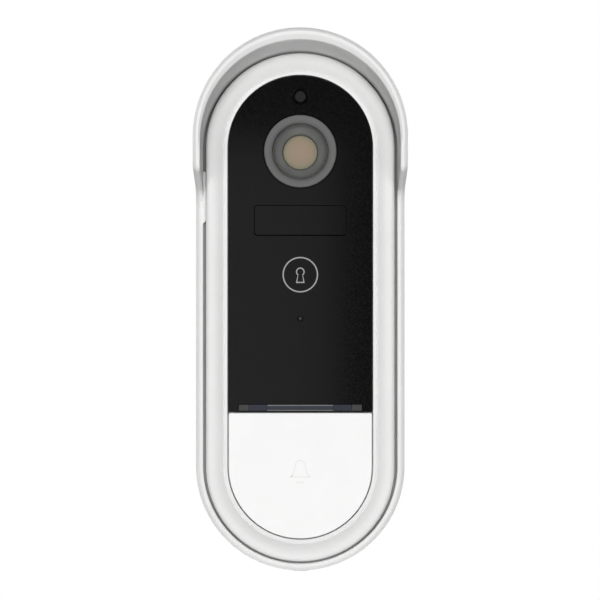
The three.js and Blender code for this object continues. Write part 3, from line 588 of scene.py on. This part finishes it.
def rim_points(station):
    """The rim's section at a station, from the outside over the ridge to the inside."""
    edge, inward = station[3], station[4]

    def wall(sink):
        depth, above = edge + inward[0] * sink, inward[1] * sink
        outer = wall_point(station, COVER_RADIUS, depth, rise_outside, above)
        return outer, wall_point(station, COVER_RADIUS - COVER_WALL, depth, rise_inside, above)

    outer, inner = wall(0)
    thickness = (outer - inner).length
    width, deep = BEVEL
    on_rim = (HOOD_DEPTH - edge) / (HOOD_DEPTH - RIM_DEPTH)  # 1 on the rim and 0 on the hood
    fall = RIDGE_FALL * on_rim
    section = [(0, deep + 0.25), (0.03, deep + 0.08), (0.12, deep - 0.04), (width - 0.1, 0.08)]
    section += [(width + 0.04, 0.015), (width + 0.15, 0), (width + RIDGE - 0.12, fall)]
    start = width + RIDGE
    reach = thickness - start
    for share in (0.05, 0.35, 0.7, 0.88):
        section.append((start + reach * share, fall + LIP_TILT * reach * share))
    end = fall + LIP_TILT * reach
    section += [(thickness - 0.05, end + LIP_ROUND * 0.4), (thickness, end + LIP_ROUND)]
    points = []
    for across, sink in section:
        outer, inner = wall(sink)
        points.append(outer.lerp(inner, across / thickness))
    return points


def rise_outside(depth):
    return HOOD_RISE * depth / HOOD_DEPTH


def rise_inside(depth):
    reach = HOOD_DEPTH + 2 - GROOVE_DEPTH
    return HOOD_RISE_INSIDE * (depth - GROOVE_DEPTH) / reach - HOOD_DROP_INSIDE


def no_rise(depth):
    return 0.0


def cover_loops():
    """Loops of the cover from its back, round the rim and down inside to its floor."""
    stations = cover_stations()
    inner = COVER_RADIUS - COVER_WALL

    def wall_loop(radius, depth, rise):
        return [wall_point(station, radius, depth, rise) for station in stations]

    rims = [rim_points(station) for station in stations]

    def hood_loop(radius, share):
        """A loop on the inside, a share of the way from the groove to the rim's inner edge."""
        loop = []
        for station, rim in zip(stations, rims):
            depth = GROOVE_DEPTH + (rim[-1][1] - GROOVE_DEPTH) * share
            loop.append(wall_point(station, radius, depth, rise_inside))
        return loop

    back_edge = fillet(0, 0, 0.6, -1)[::-1]
    loops = [wall_loop(COVER_RADIUS - inset, depth, rise_outside) for inset, depth in back_edge]
    loops += [wall_loop(COVER_RADIUS, depth, rise_outside) for depth in (9, 18, 26)]
    loops += [[rim[i] for rim in rims] for i in range(len(rims[0]))]
    loops += [hood_loop(inner, share) for share in (0.8, 0.5, 0.2)]
    loops += [hood_loop(inner, 0.02), hood_loop(inner - 0.05, 0.0)]
    edge = 0.12
    loops.append(wall_loop(TRAY_RADIUS + edge, GROOVE_DEPTH, no_rise))
    loops.append(wall_loop(TRAY_RADIUS, GROOVE_DEPTH - edge, no_rise))
    loops += [wall_loop(TRAY_RADIUS, depth, no_rise) for depth in (24, 14, 5)]
    floor_edge = fillet(0, COVER_FLOOR, 0.6, -1)
    loops += [wall_loop(TRAY_RADIUS - inset, depth, no_rise) for inset, depth in floor_edge]
    return loops


def cover_shell():
    shape = skin(cover_loops())
    foot = COVER_Z[0] + PAD["height"]  # the outline's lowest point, above the screw's pad
    pad = upright(PAD["radius"], foot - PAD["height"], foot + 1.0, SECURITY_DEPTH)
    bottom, top, slant = LUG["bottom"], LUG["top"], LUG["slant"]
    wall_side, body_side = -(COVER_RADIUS - 1.2), -(BODY_RADIUS + 0.15)
    corners = [(wall_side, bottom), (body_side, bottom + slant), (body_side, top), (wall_side, top)]
    lug = plate(polygon(corners), GROOVE_DEPTH - 2, LUG["front"], 0.05, 0.12)
    shape = joined(shape, together(pad, lug))
    through = [(0, -1), (0, COVER_FLOOR + 1)]
    holes = [layered(circle(WALL_HOLE_RADIUS, 0, z), through) for z in WALL_HOLES]
    blind = [(0, 0.6), (0, COVER_FLOOR + 1)]
    holes += [layered(circle(SCREW_HOLE_RADIUS, 0, z), blind) for z in BRACKET_SCREWS]
    ejector_radius, ejector_depth = 2.4, 0.15  # the round marks of a mould's ejector pins
    mark = [(0, -1), (0, ejector_depth)]
    for x in (-17, 17):
        for z in (-44, 0, 44):
            holes.append(layered(circle(ejector_radius, x, z), mark))
    seat = upright(1.75, foot - 1, foot + 0.9, SECURITY_DEPTH)
    shank = upright(SCREW_HOLE_RADIUS, foot - 1, foot + 3, SECURITY_DEPTH)
    shape = cut(shape, together(*holes), seat, shank)
    made = piece("cover_shell", shape, "rain_cover", cover_white, "cover_white", "rain_cover")
    paint_shade_inside_of_cover(made)
    return made


def paint_shade_inside_of_cover(made):
    """Paint shade on the hood's inside with a darker white, and on the groove's floor with a grey."""
    made.data.materials.append(hood_shaded_white)
    made.data.materials.append(groove_painted_shade)
    reach = COVER_RADIUS - COVER_WALL + 1.4
    for face in made.data.polygons:
        x, depth, z = face.center.x / MM, -face.center.y / MM, face.center.z / MM
        beyond = max(abs(z) - ARC_Z, 0.0) * (1 if z > 0 else -1)
        out = sqrt(x * x + beyond * beyond)
        facing_in = face.normal.x * x + face.normal.z * beyond < 0
        # Painted shade: faces inside the hood take the darker white, and faces on the groove's floor take
        # the grey.
        if facing_in and out < reach and depth > GROOVE_DEPTH and abs(face.normal.y) < 0.5:
            face.material_index = 1
        if TRAY_RADIUS - 0.1 < out < reach and abs(depth - GROOVE_DEPTH) < 0.3:
            face.material_index = 2


def recess(x, z, headroom, deep, arm, reach):
    """A cross-shaped recess for a driver, in one shape."""
    across = block((x - reach, x + reach), (headroom, deep), (z - arm, z + arm))
    along = block((x - arm, x + arm), (headroom, deep), (z - reach, z + reach))
    return joined(across, along)


def screw(name, body, head_radius, shank_radius, edge):
    """A screw where its CAD node is, seen from the side that its head faces."""
    x, z = centre(name)
    depth_span = limits(name)[1]
    front_head = name.startswith("bracket")
    head, tip = (depth_span[1], depth_span[0]) if front_head else depth_span
    way = 1 if tip > head else -1
    thickness = 0.9 * (1 if front_head else min(2.0, abs(tip - head) / 5))
    step = head_radius - shank_radius
    rows = [
        (edge * 2.2, head),
        (edge * 0.8, head + way * edge * 0.4),
        (0, head + way * edge * 1.6),
        (0, head + way * thickness),
        (step, head + way * (thickness + 0.1)),
        (step, tip - way * 0.5),
        (step + 0.5, tip),
    ]
    shape = layered(circle(head_radius, x, z, 40), rows)
    depths = sorted((head - way, head + way * 0.4))
    shape = cut(shape, recess(x, z, *depths, 0.22 * head_radius, 0.6 * head_radius))
    return piece(f"{name}_fine", shape, body, steel, "steel", name)


def security_screw():
    bottom, top = limits("security_screw")[2]
    head = [(1.25, bottom), (1.5, bottom + 0.08), (1.6, bottom + 0.25), (1.6, bottom + 1.4)]
    shank = [(1.15, bottom + 1.45), (1.15, top - 0.3), (0.8, top)]
    steps = 40
    rings = []
    for radius, z in head + shank:
        ring = arc(0, 0, radius, 0, 2 * pi * (1 - 1 / steps), steps - 1)
        rings.append([(x, SECURITY_DEPTH + y, z) for x, y in ring])
    socket = upright(0.85, bottom - 1, bottom + 0.6, SECURITY_DEPTH, 6)
    shape = cut(skin(rings), socket)
    return piece("security_screw_fine", shape, "rain_cover", steel, "steel", "security_screw")


def mounting_bracket():
    front = COVER_FLOOR + 2.2
    through = [(0, 1), (0, 6)]
    outline = pill(BRACKET_X[1], BRACKET_Z[1] - BRACKET_X[1])
    base = plate(outline, BRACKET_DEPTH[0], front, 0.2, 0.35)
    pegs = []
    for z in PEGS:
        rows = [(0, front - 0.5), *fillet(0, BRACKET_DEPTH[1], 0.6, 1)]
        pegs.append(layered(circle(PEG_RADIUS, 0, z, 40), rows))
    windows = []
    for side in (-1, 1):
        x_span = (10.5 * side - 3, 10.5 * side + 3)
        windows.append(layered(rounded_box(x_span, (-26, 26), 2.8), through))
    holes = [layered(circle(WALL_HOLE_RADIUS, 0, z), through) for z in WALL_HOLES]
    head_radius, step = 2.75, 1.35  # each screw's head sinks in, and its shank's hole is narrower
    for z in BRACKET_SCREWS:
        seat = [(step, 1), (step, front - 1.2), (0, front - 1.2), (0, 6)]
        holes.append(layered(circle(head_radius, 0, z), seat))
    shape = cut(joined(base, together(*pegs)), together(*windows, *holes))
    return piece(
        "bracket_fine", shape, "rain_cover", bracket_black, "plastic_black", "mounting_bracket"
    )


# Casing.


def bezel_rows():
    """The bezel's closed section: fillet, crest, hollow slope, flat land and ledge."""
    back, crest = BEZEL_DEPTH
    rows = [(BODY_WALL, back), (0.1, back), (0, back + 0.1), (0, back + 6)]
    rows += fillet(0, crest, BEZEL_FILLET, 1, 8)
    slope_start = BEZEL_FILLET + 0.2
    aperture = BODY_RADIUS - APERTURE_RADIUS
    land_start = aperture - LAND_WIDTH
    for i in range(13):
        share = i / 12
        inset = slope_start + (land_start - slope_start) * share
        rows.append((inset, crest - (crest - SLOPE_END) * share**2))
    rows += [(land_start + 0.04, SLOPE_END), (land_start + 0.2, LAND_DEPTH - 0.04)]
    rows.append((land_start + 0.28, LAND_DEPTH))
    rounding = 0.12
    for i in range(4):
        turn = pi / 2 * i / 3
        inset = aperture - rounding * (1 - sin(turn))
        rows.append((inset, LAND_DEPTH - rounding * (1 - cos(turn))))
    ledge = BODY_RADIUS - LEDGE_RADIUS
    rows += [(aperture, LEDGE_FRONT), (ledge, LEDGE_FRONT)]
    rows += [(ledge, LEDGE_BACK), (BODY_WALL, LEDGE_BACK)]
    return rows


def front_bezel():
    shape = layered(pill(BODY_RADIUS), bezel_rows(), closed=True)

    def pocket(x_span, node, play):
        """A pocket cut in from the left, with play round a node."""
        (back, front), (bottom, top) = limits(node)[1:]
        return block(x_span, (back - play, front + play), (bottom - play, top + play))

    flap_seat = pocket((-BODY_RADIUS - 1, -23.75), "port_flap", 0.15)
    mouth = pocket((-24.5, -20), "charging_socket", 0.4)
    foot = BEZEL_Z[0]
    dimple = upright(1.6, foot - 1, foot + 0.9, SECURITY_DEPTH)
    shape = cut(shape, flap_seat, mouth, dimple)
    return piece("bezel_fine", shape, "doorbell_unit", casing_white, "casing_white", "front_bezel")


def rear_housing():
    back, split = HOUSING_DEPTH
    inside = back + 2.8
    rows = fillet(0, back, 1.2, -1, 8)[::-1]
    rows += [(0, split - 0.1), (0.1, split), (BODY_WALL - 0.1, split), (BODY_WALL, split - 0.1)]
    rows += fillet(BODY_WALL, inside, 0.8, -1)
    shape = layered(pill(BODY_RADIUS), rows)
    play = 0.3
    door_x = (DOOR_X[0] - play, DOOR_X[1] + play)
    door_z = (DOOR_Z[0] - play, DOOR_Z[1] + play)
    rows = [(-0.25, back - 1), (0, back + 0.3), (0, back + 1.8)]
    pocket = layered(rounded_box(door_x, door_z, DOOR_CORNER, 16), rows)
    cells_x, cells_z = (-18.9, 18.9), (-54, 13.9)
    opening = layered(rounded_box(cells_x, cells_z, 7, 16), [(0, back), (0, inside + 1)])
    holes = []
    seat = [(-0.2, back - 1), (0, back + 0.3), (0, inside - 0.1), (1.05, inside - 0.1)]
    seat.append((1.05, inside + 1))
    for name in frame["nodes"]:
        if name.startswith("casing_screw"):
            holes.append(layered(circle(2.4, *centre(name)), seat))
    peg_hole = [(-0.4, back - 1), (0, back + 0.4), (0, inside + 1)]
    for z in PEGS:
        holes.append(layered(circle(PEG_RADIUS + 0.4, 0, z), peg_hole))
    holes.append(layered(circle(1.2, *centre("pressure_vent")), [(0, back - 1), (0, inside + 1)]))
    shape = cut(shape, pocket, opening, together(*holes))
    return piece("housing_fine", shape, "doorbell_unit", casing_white, "casing_white", "rear_housing")


def casing_seal():
    x_span, (back, front) = limits("casing_seal")[:2]
    width = 1.4
    rows = [(0.08, back), (0, back + 0.1), (0, front - 0.1), (0.08, front)]
    rows += [(width, front), (width, back)]
    shape = layered(pill(x_span[1]), rows, closed=True)
    return piece("seal_fine", shape, "doorbell_unit", rubber_dark, "rubber_dark", "casing_seal")


def battery_door():
    back, inside = DOOR_DEPTH
    shape = plate(rounded_box(DOOR_X, DOOR_Z, DOOR_CORNER, 16), back, inside, 0.3, 0.1)
    seat = [(-0.15, back - 1), (0, back + 0.2), (0, back + 0.8), (0.95, back + 0.8)]
    seat.append((0.95, inside + 1))
    seats = []
    for name in ("battery_door_screw_left", "battery_door_screw_right"):
        seats.append(layered(circle(2.2, *centre(name)), seat))
    grooves = []
    for i in range(4):
        low = 6 - 2.4 * i
        outline = rounded_box((-7, 7), (low, low + 1), 0.48)
        grooves.append(layered(outline, [(-0.2, back - 1), (-0.2, back), (0.1, back + 0.4)]))
    shape = cut(shape, together(*seats), together(*grooves))
    return piece("door_fine", shape, "doorbell_unit", casing_white, "casing_white", "battery_door")


def port_flap():
    x_span, depth_span, z_span = limits("port_flap")
    outline = rounded_box(depth_span, z_span, 0.6)
    thickness = 0.9
    rows = fillet(0, x_span[0], 0.18, -1)[::-1] + [(0, x_span[0] + thickness)]
    loops = [[(x, depth, z) for depth, z in outline(inset)] for inset, x in rows]
    return piece("flap_fine", skin(loops), "doorbell_unit", rubber_white, "rubber_white", "port_flap")


# Front face.


def face_plate():
    back, front = FACE_DEPTH
    shape = plate(pill_head(FACE_X[1], FACE_Z[0], 0.1), back, front, 0.05, 0.08)

    def hole(outline, lip):
        return layered(outline, [(0, back - 1), (0, front - lip), (-2.0, front - lip + 2.0)])

    narrow = LENS_HOLE_RADIUS - RING_X[1] - 0.03  # the lens ring's hole is close at the back
    shelf = front - 0.9
    rows = [(narrow, back - 1), (narrow, shelf), (0, shelf), (0, front - 0.1), (-2.0, front + 1.9)]
    lens = layered(circle(LENS_HOLE_RADIUS, 0, LENS_Z, 96), rows)
    play = 0.03
    (left, right), (bottom, top) = limits("motion_sensor_window")[::2]
    around = rounded_box((left - play, right + play), (bottom - play, top + play), 0.93)
    motion = hole(around, 0.12)
    light = hole(circle(1.9, 0, LIGHT_SENSOR_Z), 0.25)
    dish = [(0.55, back - 1), (0.55, front - 0.5), (0, front), (-1.1, front + 1)]
    sound = layered(circle(0.85, 0, MICROPHONE_Z), dish)
    slot_x = (SLOT_X[0] - 0.15, SLOT_X[1] + 0.15)
    slot = block(slot_x, (30, 40), (SLOT_Z[0] - 0.1, SLOT_Z[1] + 0.15))
    shape = cut(shape, together(lens, motion, light, sound, slot))
    return piece("face_fine", shape, "doorbell_unit", face_black, "face_black", "face_plate")


def microphone_mesh():
    """The dark cloth that closes the microphone's hole, with a paler spot in its middle."""
    face = FACE_DEPTH[1]
    cloth = plate(circle(0.6, 0, MICROPHONE_Z, 32), face - 0.45, face - 0.2, 0.05, 0.05)
    piece("microphone_cloth", cloth, "doorbell_unit", sensor_grey, "rubber_dark")
    spot = plate(circle(0.33, 0, MICROPHONE_Z, 32), face - 0.3, face - 0.12, 0.05, 0.06)
    piece("microphone_spot", spot, "doorbell_unit", slot_grey, "rubber_dark")


def motion_window():
    x_span, depth_span, z_span = limits("motion_sensor_window")
    back, front = depth_span
    shape = layered(rounded_box(x_span, z_span, 0.9), [(0, back), (0, front - 0.16), (0.16, front)])
    name = "motion_window_fine"
    return piece(name, shape, "doorbell_unit", window_black, "smoked_window", "motion_sensor_window")


def light_window():
    back, front = limits("light_sensor_window")[1]
    flange = back + 2.6
    rows = [(0, back), (0, flange), (1.15, flange), (1.15, front - 0.1), (1.25, front)]
    shape = layered(circle(2.6, 0, LIGHT_SENSOR_Z), rows)
    name = "light_window_fine"
    return piece(name, shape, "doorbell_unit", sensor_grey, "smoked_window", "light_sensor_window")


def slot_window():
    """The light guide with its grey ends, and the pale lips of the sound slit in its middle."""
    back, front = SLOT_DEPTH
    end_width = 2.75
    lip_half = 8.75
    foot, head = SLOT_Z
    slit = (foot + 0.36, head - 0.42)
    outline = rounded_box((SLOT_X[0] + end_width, SLOT_X[1] - end_width), (foot, head), 0.05)
    guide = plate(outline, back, front, 0.05, 0.1)
    guide = cut(guide, block((-lip_half, lip_half), (30, 40), slit))
    piece("slot_guide", guide, "doorbell_unit", slot_smoke, "smoked_window", "slot_window")
    for side, name in ((-1, "slot_end_left"), (1, "slot_end_right")):
        inner, outer = side * (SLOT_X[1] - end_width + 0.02), side * SLOT_X[1]
        shape = plate(rounded_box(sorted((inner, outer)), (foot, head), 0.1), back, front, 0.05, 0.12)
        piece(name, shape, "doorbell_unit", slot_grey, "smoked_window")
    for name, z_span in (
        ("slot_lip_upper", (slit[1] - 0.02, head - 0.04)),
        ("slot_lip_lower", (foot + 0.02, slit[0] + 0.02)),
    ):
        outline = rounded_box((-lip_half, lip_half), z_span, 0.1)
        shape = plate(outline, back + 0.4, front + 0.12, 0.05, 0.12)
        piece(name, shape, "doorbell_unit", slot_lip, "smoked_window")
    cloth = plate(rounded_box((-lip_half, lip_half), slit, 0.05), front - 0.8, front - 0.5, 0.05, 0.05)
    piece("slot_cloth", cloth, "doorbell_unit", slot_slate, "smoked_window")


def keyhole(x, z, radius, foot, drop):
    """A round hole over a foot that widens downwards."""
    start = radians(-52)
    head = arc(x, z, radius, start, pi - start, 24)
    return head + [(x - foot / 2, z - drop), (x + foot / 2, z - drop)]


def face_print():
    """A plain ring with a keyhole in it, printed on the face."""
    sunk, top = FACE_DEPTH[1] - 0.02, FACE_DEPTH[1] + 0.025
    x, z, radius, width = 0, 8.6, 4.7, 0.34
    rows = [(0, sunk), (0, top), (width, top), (width, sunk)]
    ring = layered(circle(radius, x, z, 96), rows, closed=True)
    hole_z = z + 0.75
    outer = keyhole(x, hole_z, 1.15, 2.3, 2.95)
    inner = keyhole(x, hole_z, 0.85, 1.6, 2.65)
    loops = []
    for points, depth in ((outer, sunk), (outer, top), (inner, top), (inner, sunk)):
        loops.append([(px, depth, pz) for px, pz in points])
    shape = together(ring, skin(loops, closed=True))
    piece("face_print", shape, "doorbell_unit", print_grey, "face_black")


# Camera.


def lens_ring():
    back, front = RING_DEPTH
    outer = RING_X[1]
    width = outer - 7.35
    rows = [(width, back), (0, back), (0, front - 0.3)]
    rows += fillet(0, front, 0.3, 1)
    rows += [(width * 0.55, front - 0.03), (width * 0.86, front - 0.2)]
    rows += [(width - 0.08, front - 0.45), (width, front - 0.8), (width, front - 2.2)]
    shape = layered(circle(outer, 0, LENS_Z, 128), rows, closed=True)
    return piece("ring_fine", shape, "doorbell_unit", ring_grey, "lens_grey", "lens_ring", sharp=50)


def lens_window():
    x_span, (back, front) = limits("lens_window")[:2]
    edge = front - 0.75
    rows = [(0, back), (0, edge)]
    for i in range(1, 12):
        share = i / 12
        bulge = (front - edge) * sqrt(1 - (1 - share) ** 2) * 0.98
        rows.append((x_span[1] * share, edge + bulge))
    shape = layered(circle(x_span[1], 0, LENS_Z, 96), rows)
    return piece("window_fine", shape, "doorbell_unit", window_glass, "clear_glass", "lens_window")


def lens_barrel():
    x_span, (back, front) = limits("lens_barrel")[:2]
    outer = x_span[1]
    neck = outer - 6.4  # how far the narrow rear part is set in
    rows = [(outer - 4.7, back), (neck, back), (neck, 30.6), (0, 31.6), (0, front)]
    rows += [(0.25, front), (0.45, front - 0.5)]
    for i in range(7):
        share = i / 6
        rows.append((0.55 + 1.9 * share, front - 0.6 - 0.9 * share))
    rows += [(outer - 4.75, 32.35), (outer - 4.7, 31.9)]
    shape = layered(circle(outer, 0, LENS_Z, 96), rows, closed=True)
    return piece("barrel_fine", shape, "doorbell_unit", barrel_grey, "lens_grey", "lens_barrel", sharp=50)


def front_lens():
    x_span, (back, front) = limits("front_lens")[:2]
    edge = front - 0.9
    rows = [(0, back + 0.4), (0, edge)]
    for i in range(1, 10):
        share = i / 10
        bulge = (front - edge) * sqrt(1 - (1 - share) ** 2) * 0.99
        rows.append((x_span[1] * share, edge + bulge))
    shape = layered(circle(x_span[1], 0, LENS_Z, 96), rows)
    return piece("lens_fine", shape, "doorbell_unit", pupil, "lens_glass", "front_lens")


# Button.


def bell_lines():
    """The outline of a small bell and of its clapper, as lines of (x, z)."""
    foot, shoulder, half, crown = -44.85, -41.75, 2.6, 1.3
    side = [(-half, foot), (-1.85, foot + 0.85), (-1.45, foot + 1.9)]
    arch = [(x, shoulder + 0.95 * (z - shoulder)) for x, z in arc(0, shoulder, crown, pi, 0, 12)]
    other = [(-x, z) for x, z in reversed(side)]
    bell = side + arch + other
    clapper = [(-1.15, foot - 1.4), (0.0, foot - 1.5), (1.15, foot - 1.4)]
    return [bell + bell[:1], clapper]


def raised_line(line, depth, width, height):
    """A low bead with slanted sides along a line of (x, z), standing on a flat face."""
    loops = []
    ring = line[0] == line[-1]
    for i, (x, z) in enumerate(line):
        before, after = line[max(i - 1, 0)], line[min(i + 1, len(line) - 1)]
        if ring:
            before = line[i - 1] if i else line[-2]
            after = line[i + 1] if i + 1 < len(line) else line[1]
        along = Vector((after[0] - before[0], after[1] - before[1])).normalized()
        section = []
        for side, above in ((-0.5, -0.02), (-0.3, height), (0.3, height), (0.5, -0.02)):
            across = side * width
            section.append((x - along.y * across, depth + above, z + along.x * across))
        loops.append(section)
    if ring:
        return skin(loops[:-1], closed=True)
    return skin(loops)


def button_cap():
    front = BUTTON_DEPTH[1]
    back = 34.0
    outline = pill_foot(BUTTON_X[1], BUTTON_Z[1], 0.45)
    shape = plate(outline, back, front, 0.05, 0.3)
    made = piece("button_fine", shape, "doorbell_button", button_white, "button_white", "button_cap")
    bell = together(*[raised_line(line, front, 0.26, 0.03) for line in bell_lines()])
    piece("button_bell", bell, "doorbell_button", bell_grey, "button_white")
    skirt_radius, skirt_back, skirt_width = 16.9, 30.4, 1.2
    rows = [(0, skirt_back), (0, back), (skirt_width, back), (skirt_width, skirt_back)]
    skirt = layered(pill_foot(skirt_radius, BUTTON_Z[1] - 2, 0.3), rows, closed=True)
    piece("button_skirt", skirt, "doorbell_button", button_white, "button_white")
    post = plate(circle(1.7, 0, BUTTON_POST_Z), 31.3, back + 0.1, 0.2, 0.05)
    piece("button_post", post, "doorbell_button", button_white, "button_white")
    return made


# Everything inside keeps its CAD shape and gets its finish here.


INSIDE = (
    (plastic_black, ("lens_holder", "filter_slide", "light_sensor", "speaker", "speaker_mesh")),
    (plastic_black, ("button_switch", "button_switch_stem", "antenna", "reset_switch", "image_sensor")),
    (rubber_dark, ("battery_door_seal", "microphone_boot", "speaker_gasket", "button_seal")),
    (rubber_white, ("pressure_vent",)),
    (casing_white, ("reset_key", "status_led_left", "status_led_right")),
    (steel, ("motion_sensor", "microphone", "wifi_module", "charging_socket")),
    (nickel, ("battery_contact_upper", "battery_contact_lower")),
    (cell_sleeve, ("battery_cell_left", "battery_cell_right")),
    (board_green, ("camera_board", "sensor_board", "main_board")),
    (filter_cyan, ("infrared_cut_pane",)),
    (window_glass, ("clear_pane",)),
    (led_clear, ("infrared_led_upper_left", "infrared_led_upper_right")),
    (led_clear, ("infrared_led_lower_left", "infrared_led_lower_right")),
)


def finish_inside():
    for material, names in INSIDE:
        for name in names:
            for place in frame["nodes"][name].material_slots:
                place.material = material


# Camera, light and stage.


def camera():
    distance = 494.0  # in front of the rim
    aside, height = -0.08, 1.9
    sensor_width, focal_length = 36.0, 111.9
    data = bpy.data.cameras.new("camera")
    data.sensor_width = sensor_width
    data.lens = focal_length
    made = bpy.data.objects.new("camera", data)
    made.location = (aside * MM, -(RIM_DEPTH + distance) * MM, height * MM)
    made.rotation_euler = (pi / 2, 0, 0)
    bpy.context.scene.collection.objects.link(made)
    bpy.context.scene.camera = made


def panel(name, place, size, brightness, target=(0, -0.035, 0)):
    """A soft panel light that faces the target. Brightness is what its surface shows."""
    data = bpy.data.lights.new(name, "AREA")
    data.shape = "RECTANGLE"
    data.size, data.size_y = size
    data.energy = brightness * pi * size[0] * size[1]
    made = bpy.data.objects.new(name, data)
    made.location = place
    made.rotation_euler = (Vector(target) - Vector(place)).to_track_quat("-Z", "Y").to_euler()
    made.visible_camera = False
    bpy.context.scene.collection.objects.link(made)


def lights():
    """Four soft panels round the camera, a dim card behind it, and two panels at the back."""
    reach, ahead = 0.42, -1.15
    panel_size, card_size, rear_size = (0.35, 0.35), (0.40, 0.52), (0.8, 0.8)
    for name, place, brightness in (
        ("light_left", (-reach, ahead, 0.0), 9.3),
        ("light_right", (reach, ahead, 0.0), 7.3),
        ("light_top", (0, ahead, reach + 0.12), 9.8),
        ("light_bottom", (0, ahead, -reach), 7.6),
    ):
        panel(name, place, panel_size, brightness)
    card_x, card_z = -0.165, -0.11  # low on the left, where the face's faint sheen comes from
    panel("card", (card_x, -1.25, card_z), card_size, 0.58, (card_x, 0, card_z))
    panel("light_rear_left", (-0.9, 0.7, 0.5), rear_size, 5.0)
    panel("light_rear_right", (0.9, 0.7, 0.5), rear_size, 4.0)


def world():
    """White where the camera sees it, and a softer white as light."""
    made = bpy.data.worlds.new("studio")
    bpy.context.scene.world = made
    made.use_nodes = True
    tree = made.node_tree
    backdrop = tree.nodes["Background"]
    backdrop.inputs["Color"].default_value = (1, 1, 1, 1)
    ray = tree.nodes.new("ShaderNodeLightPath")
    strength = tree.nodes.new("ShaderNodeMapRange")
    strength.inputs["To Min"].default_value = 0.12
    strength.inputs["To Max"].default_value = 1.0
    tree.links.new(ray.outputs["Is Camera Ray"], strength.inputs["Value"])
    tree.links.new(strength.outputs["Result"], backdrop.inputs["Strength"])


def floor():
    """A pale floor well below the doorbell."""
    height, half = -0.8, 1.1
    corners = [(-half, -half), (half, -half), (half, half), (-half, half)]
    shape = bmesh.new()
    shape.faces.new([shape.verts.new((x, y, height)) for x, y in corners])
    mesh = bpy.data.meshes.new("floor")
    shape.to_mesh(mesh)
    shape.free()
    mesh.materials.append(moulded("floor_white", (0.8, 0.8, 0.8), 0.7, grain=4))
    made = bpy.data.objects.new("floor", mesh)
    bpy.context.scene.collection.objects.link(made)


bpy.context.scene.view_settings.view_transform = "Standard"
camera()
lights()
world()
floor()

cover_shell()
security_screw()
mounting_bracket()
for name in ("bracket_screw_upper", "bracket_screw_lower"):
    screw(name, "rain_cover", 2.6, 1.2, 0.25)

front_bezel()
rear_housing()
casing_seal()
battery_door()
port_flap()
for name in sorted(frame["nodes"]):
    if name.startswith("casing_screw"):
        screw(name, "doorbell_unit", 2.15, 1.1, 0.2)
for name in ("battery_door_screw_left", "battery_door_screw_right"):
    screw(name, "doorbell_unit", 1.95, 0.95, 0.12)

face_plate()
microphone_mesh()
motion_window()
light_window()
slot_window()
face_print()
lens_ring()
lens_window()
lens_barrel()
front_lens()
button_cap()
finish_inside()
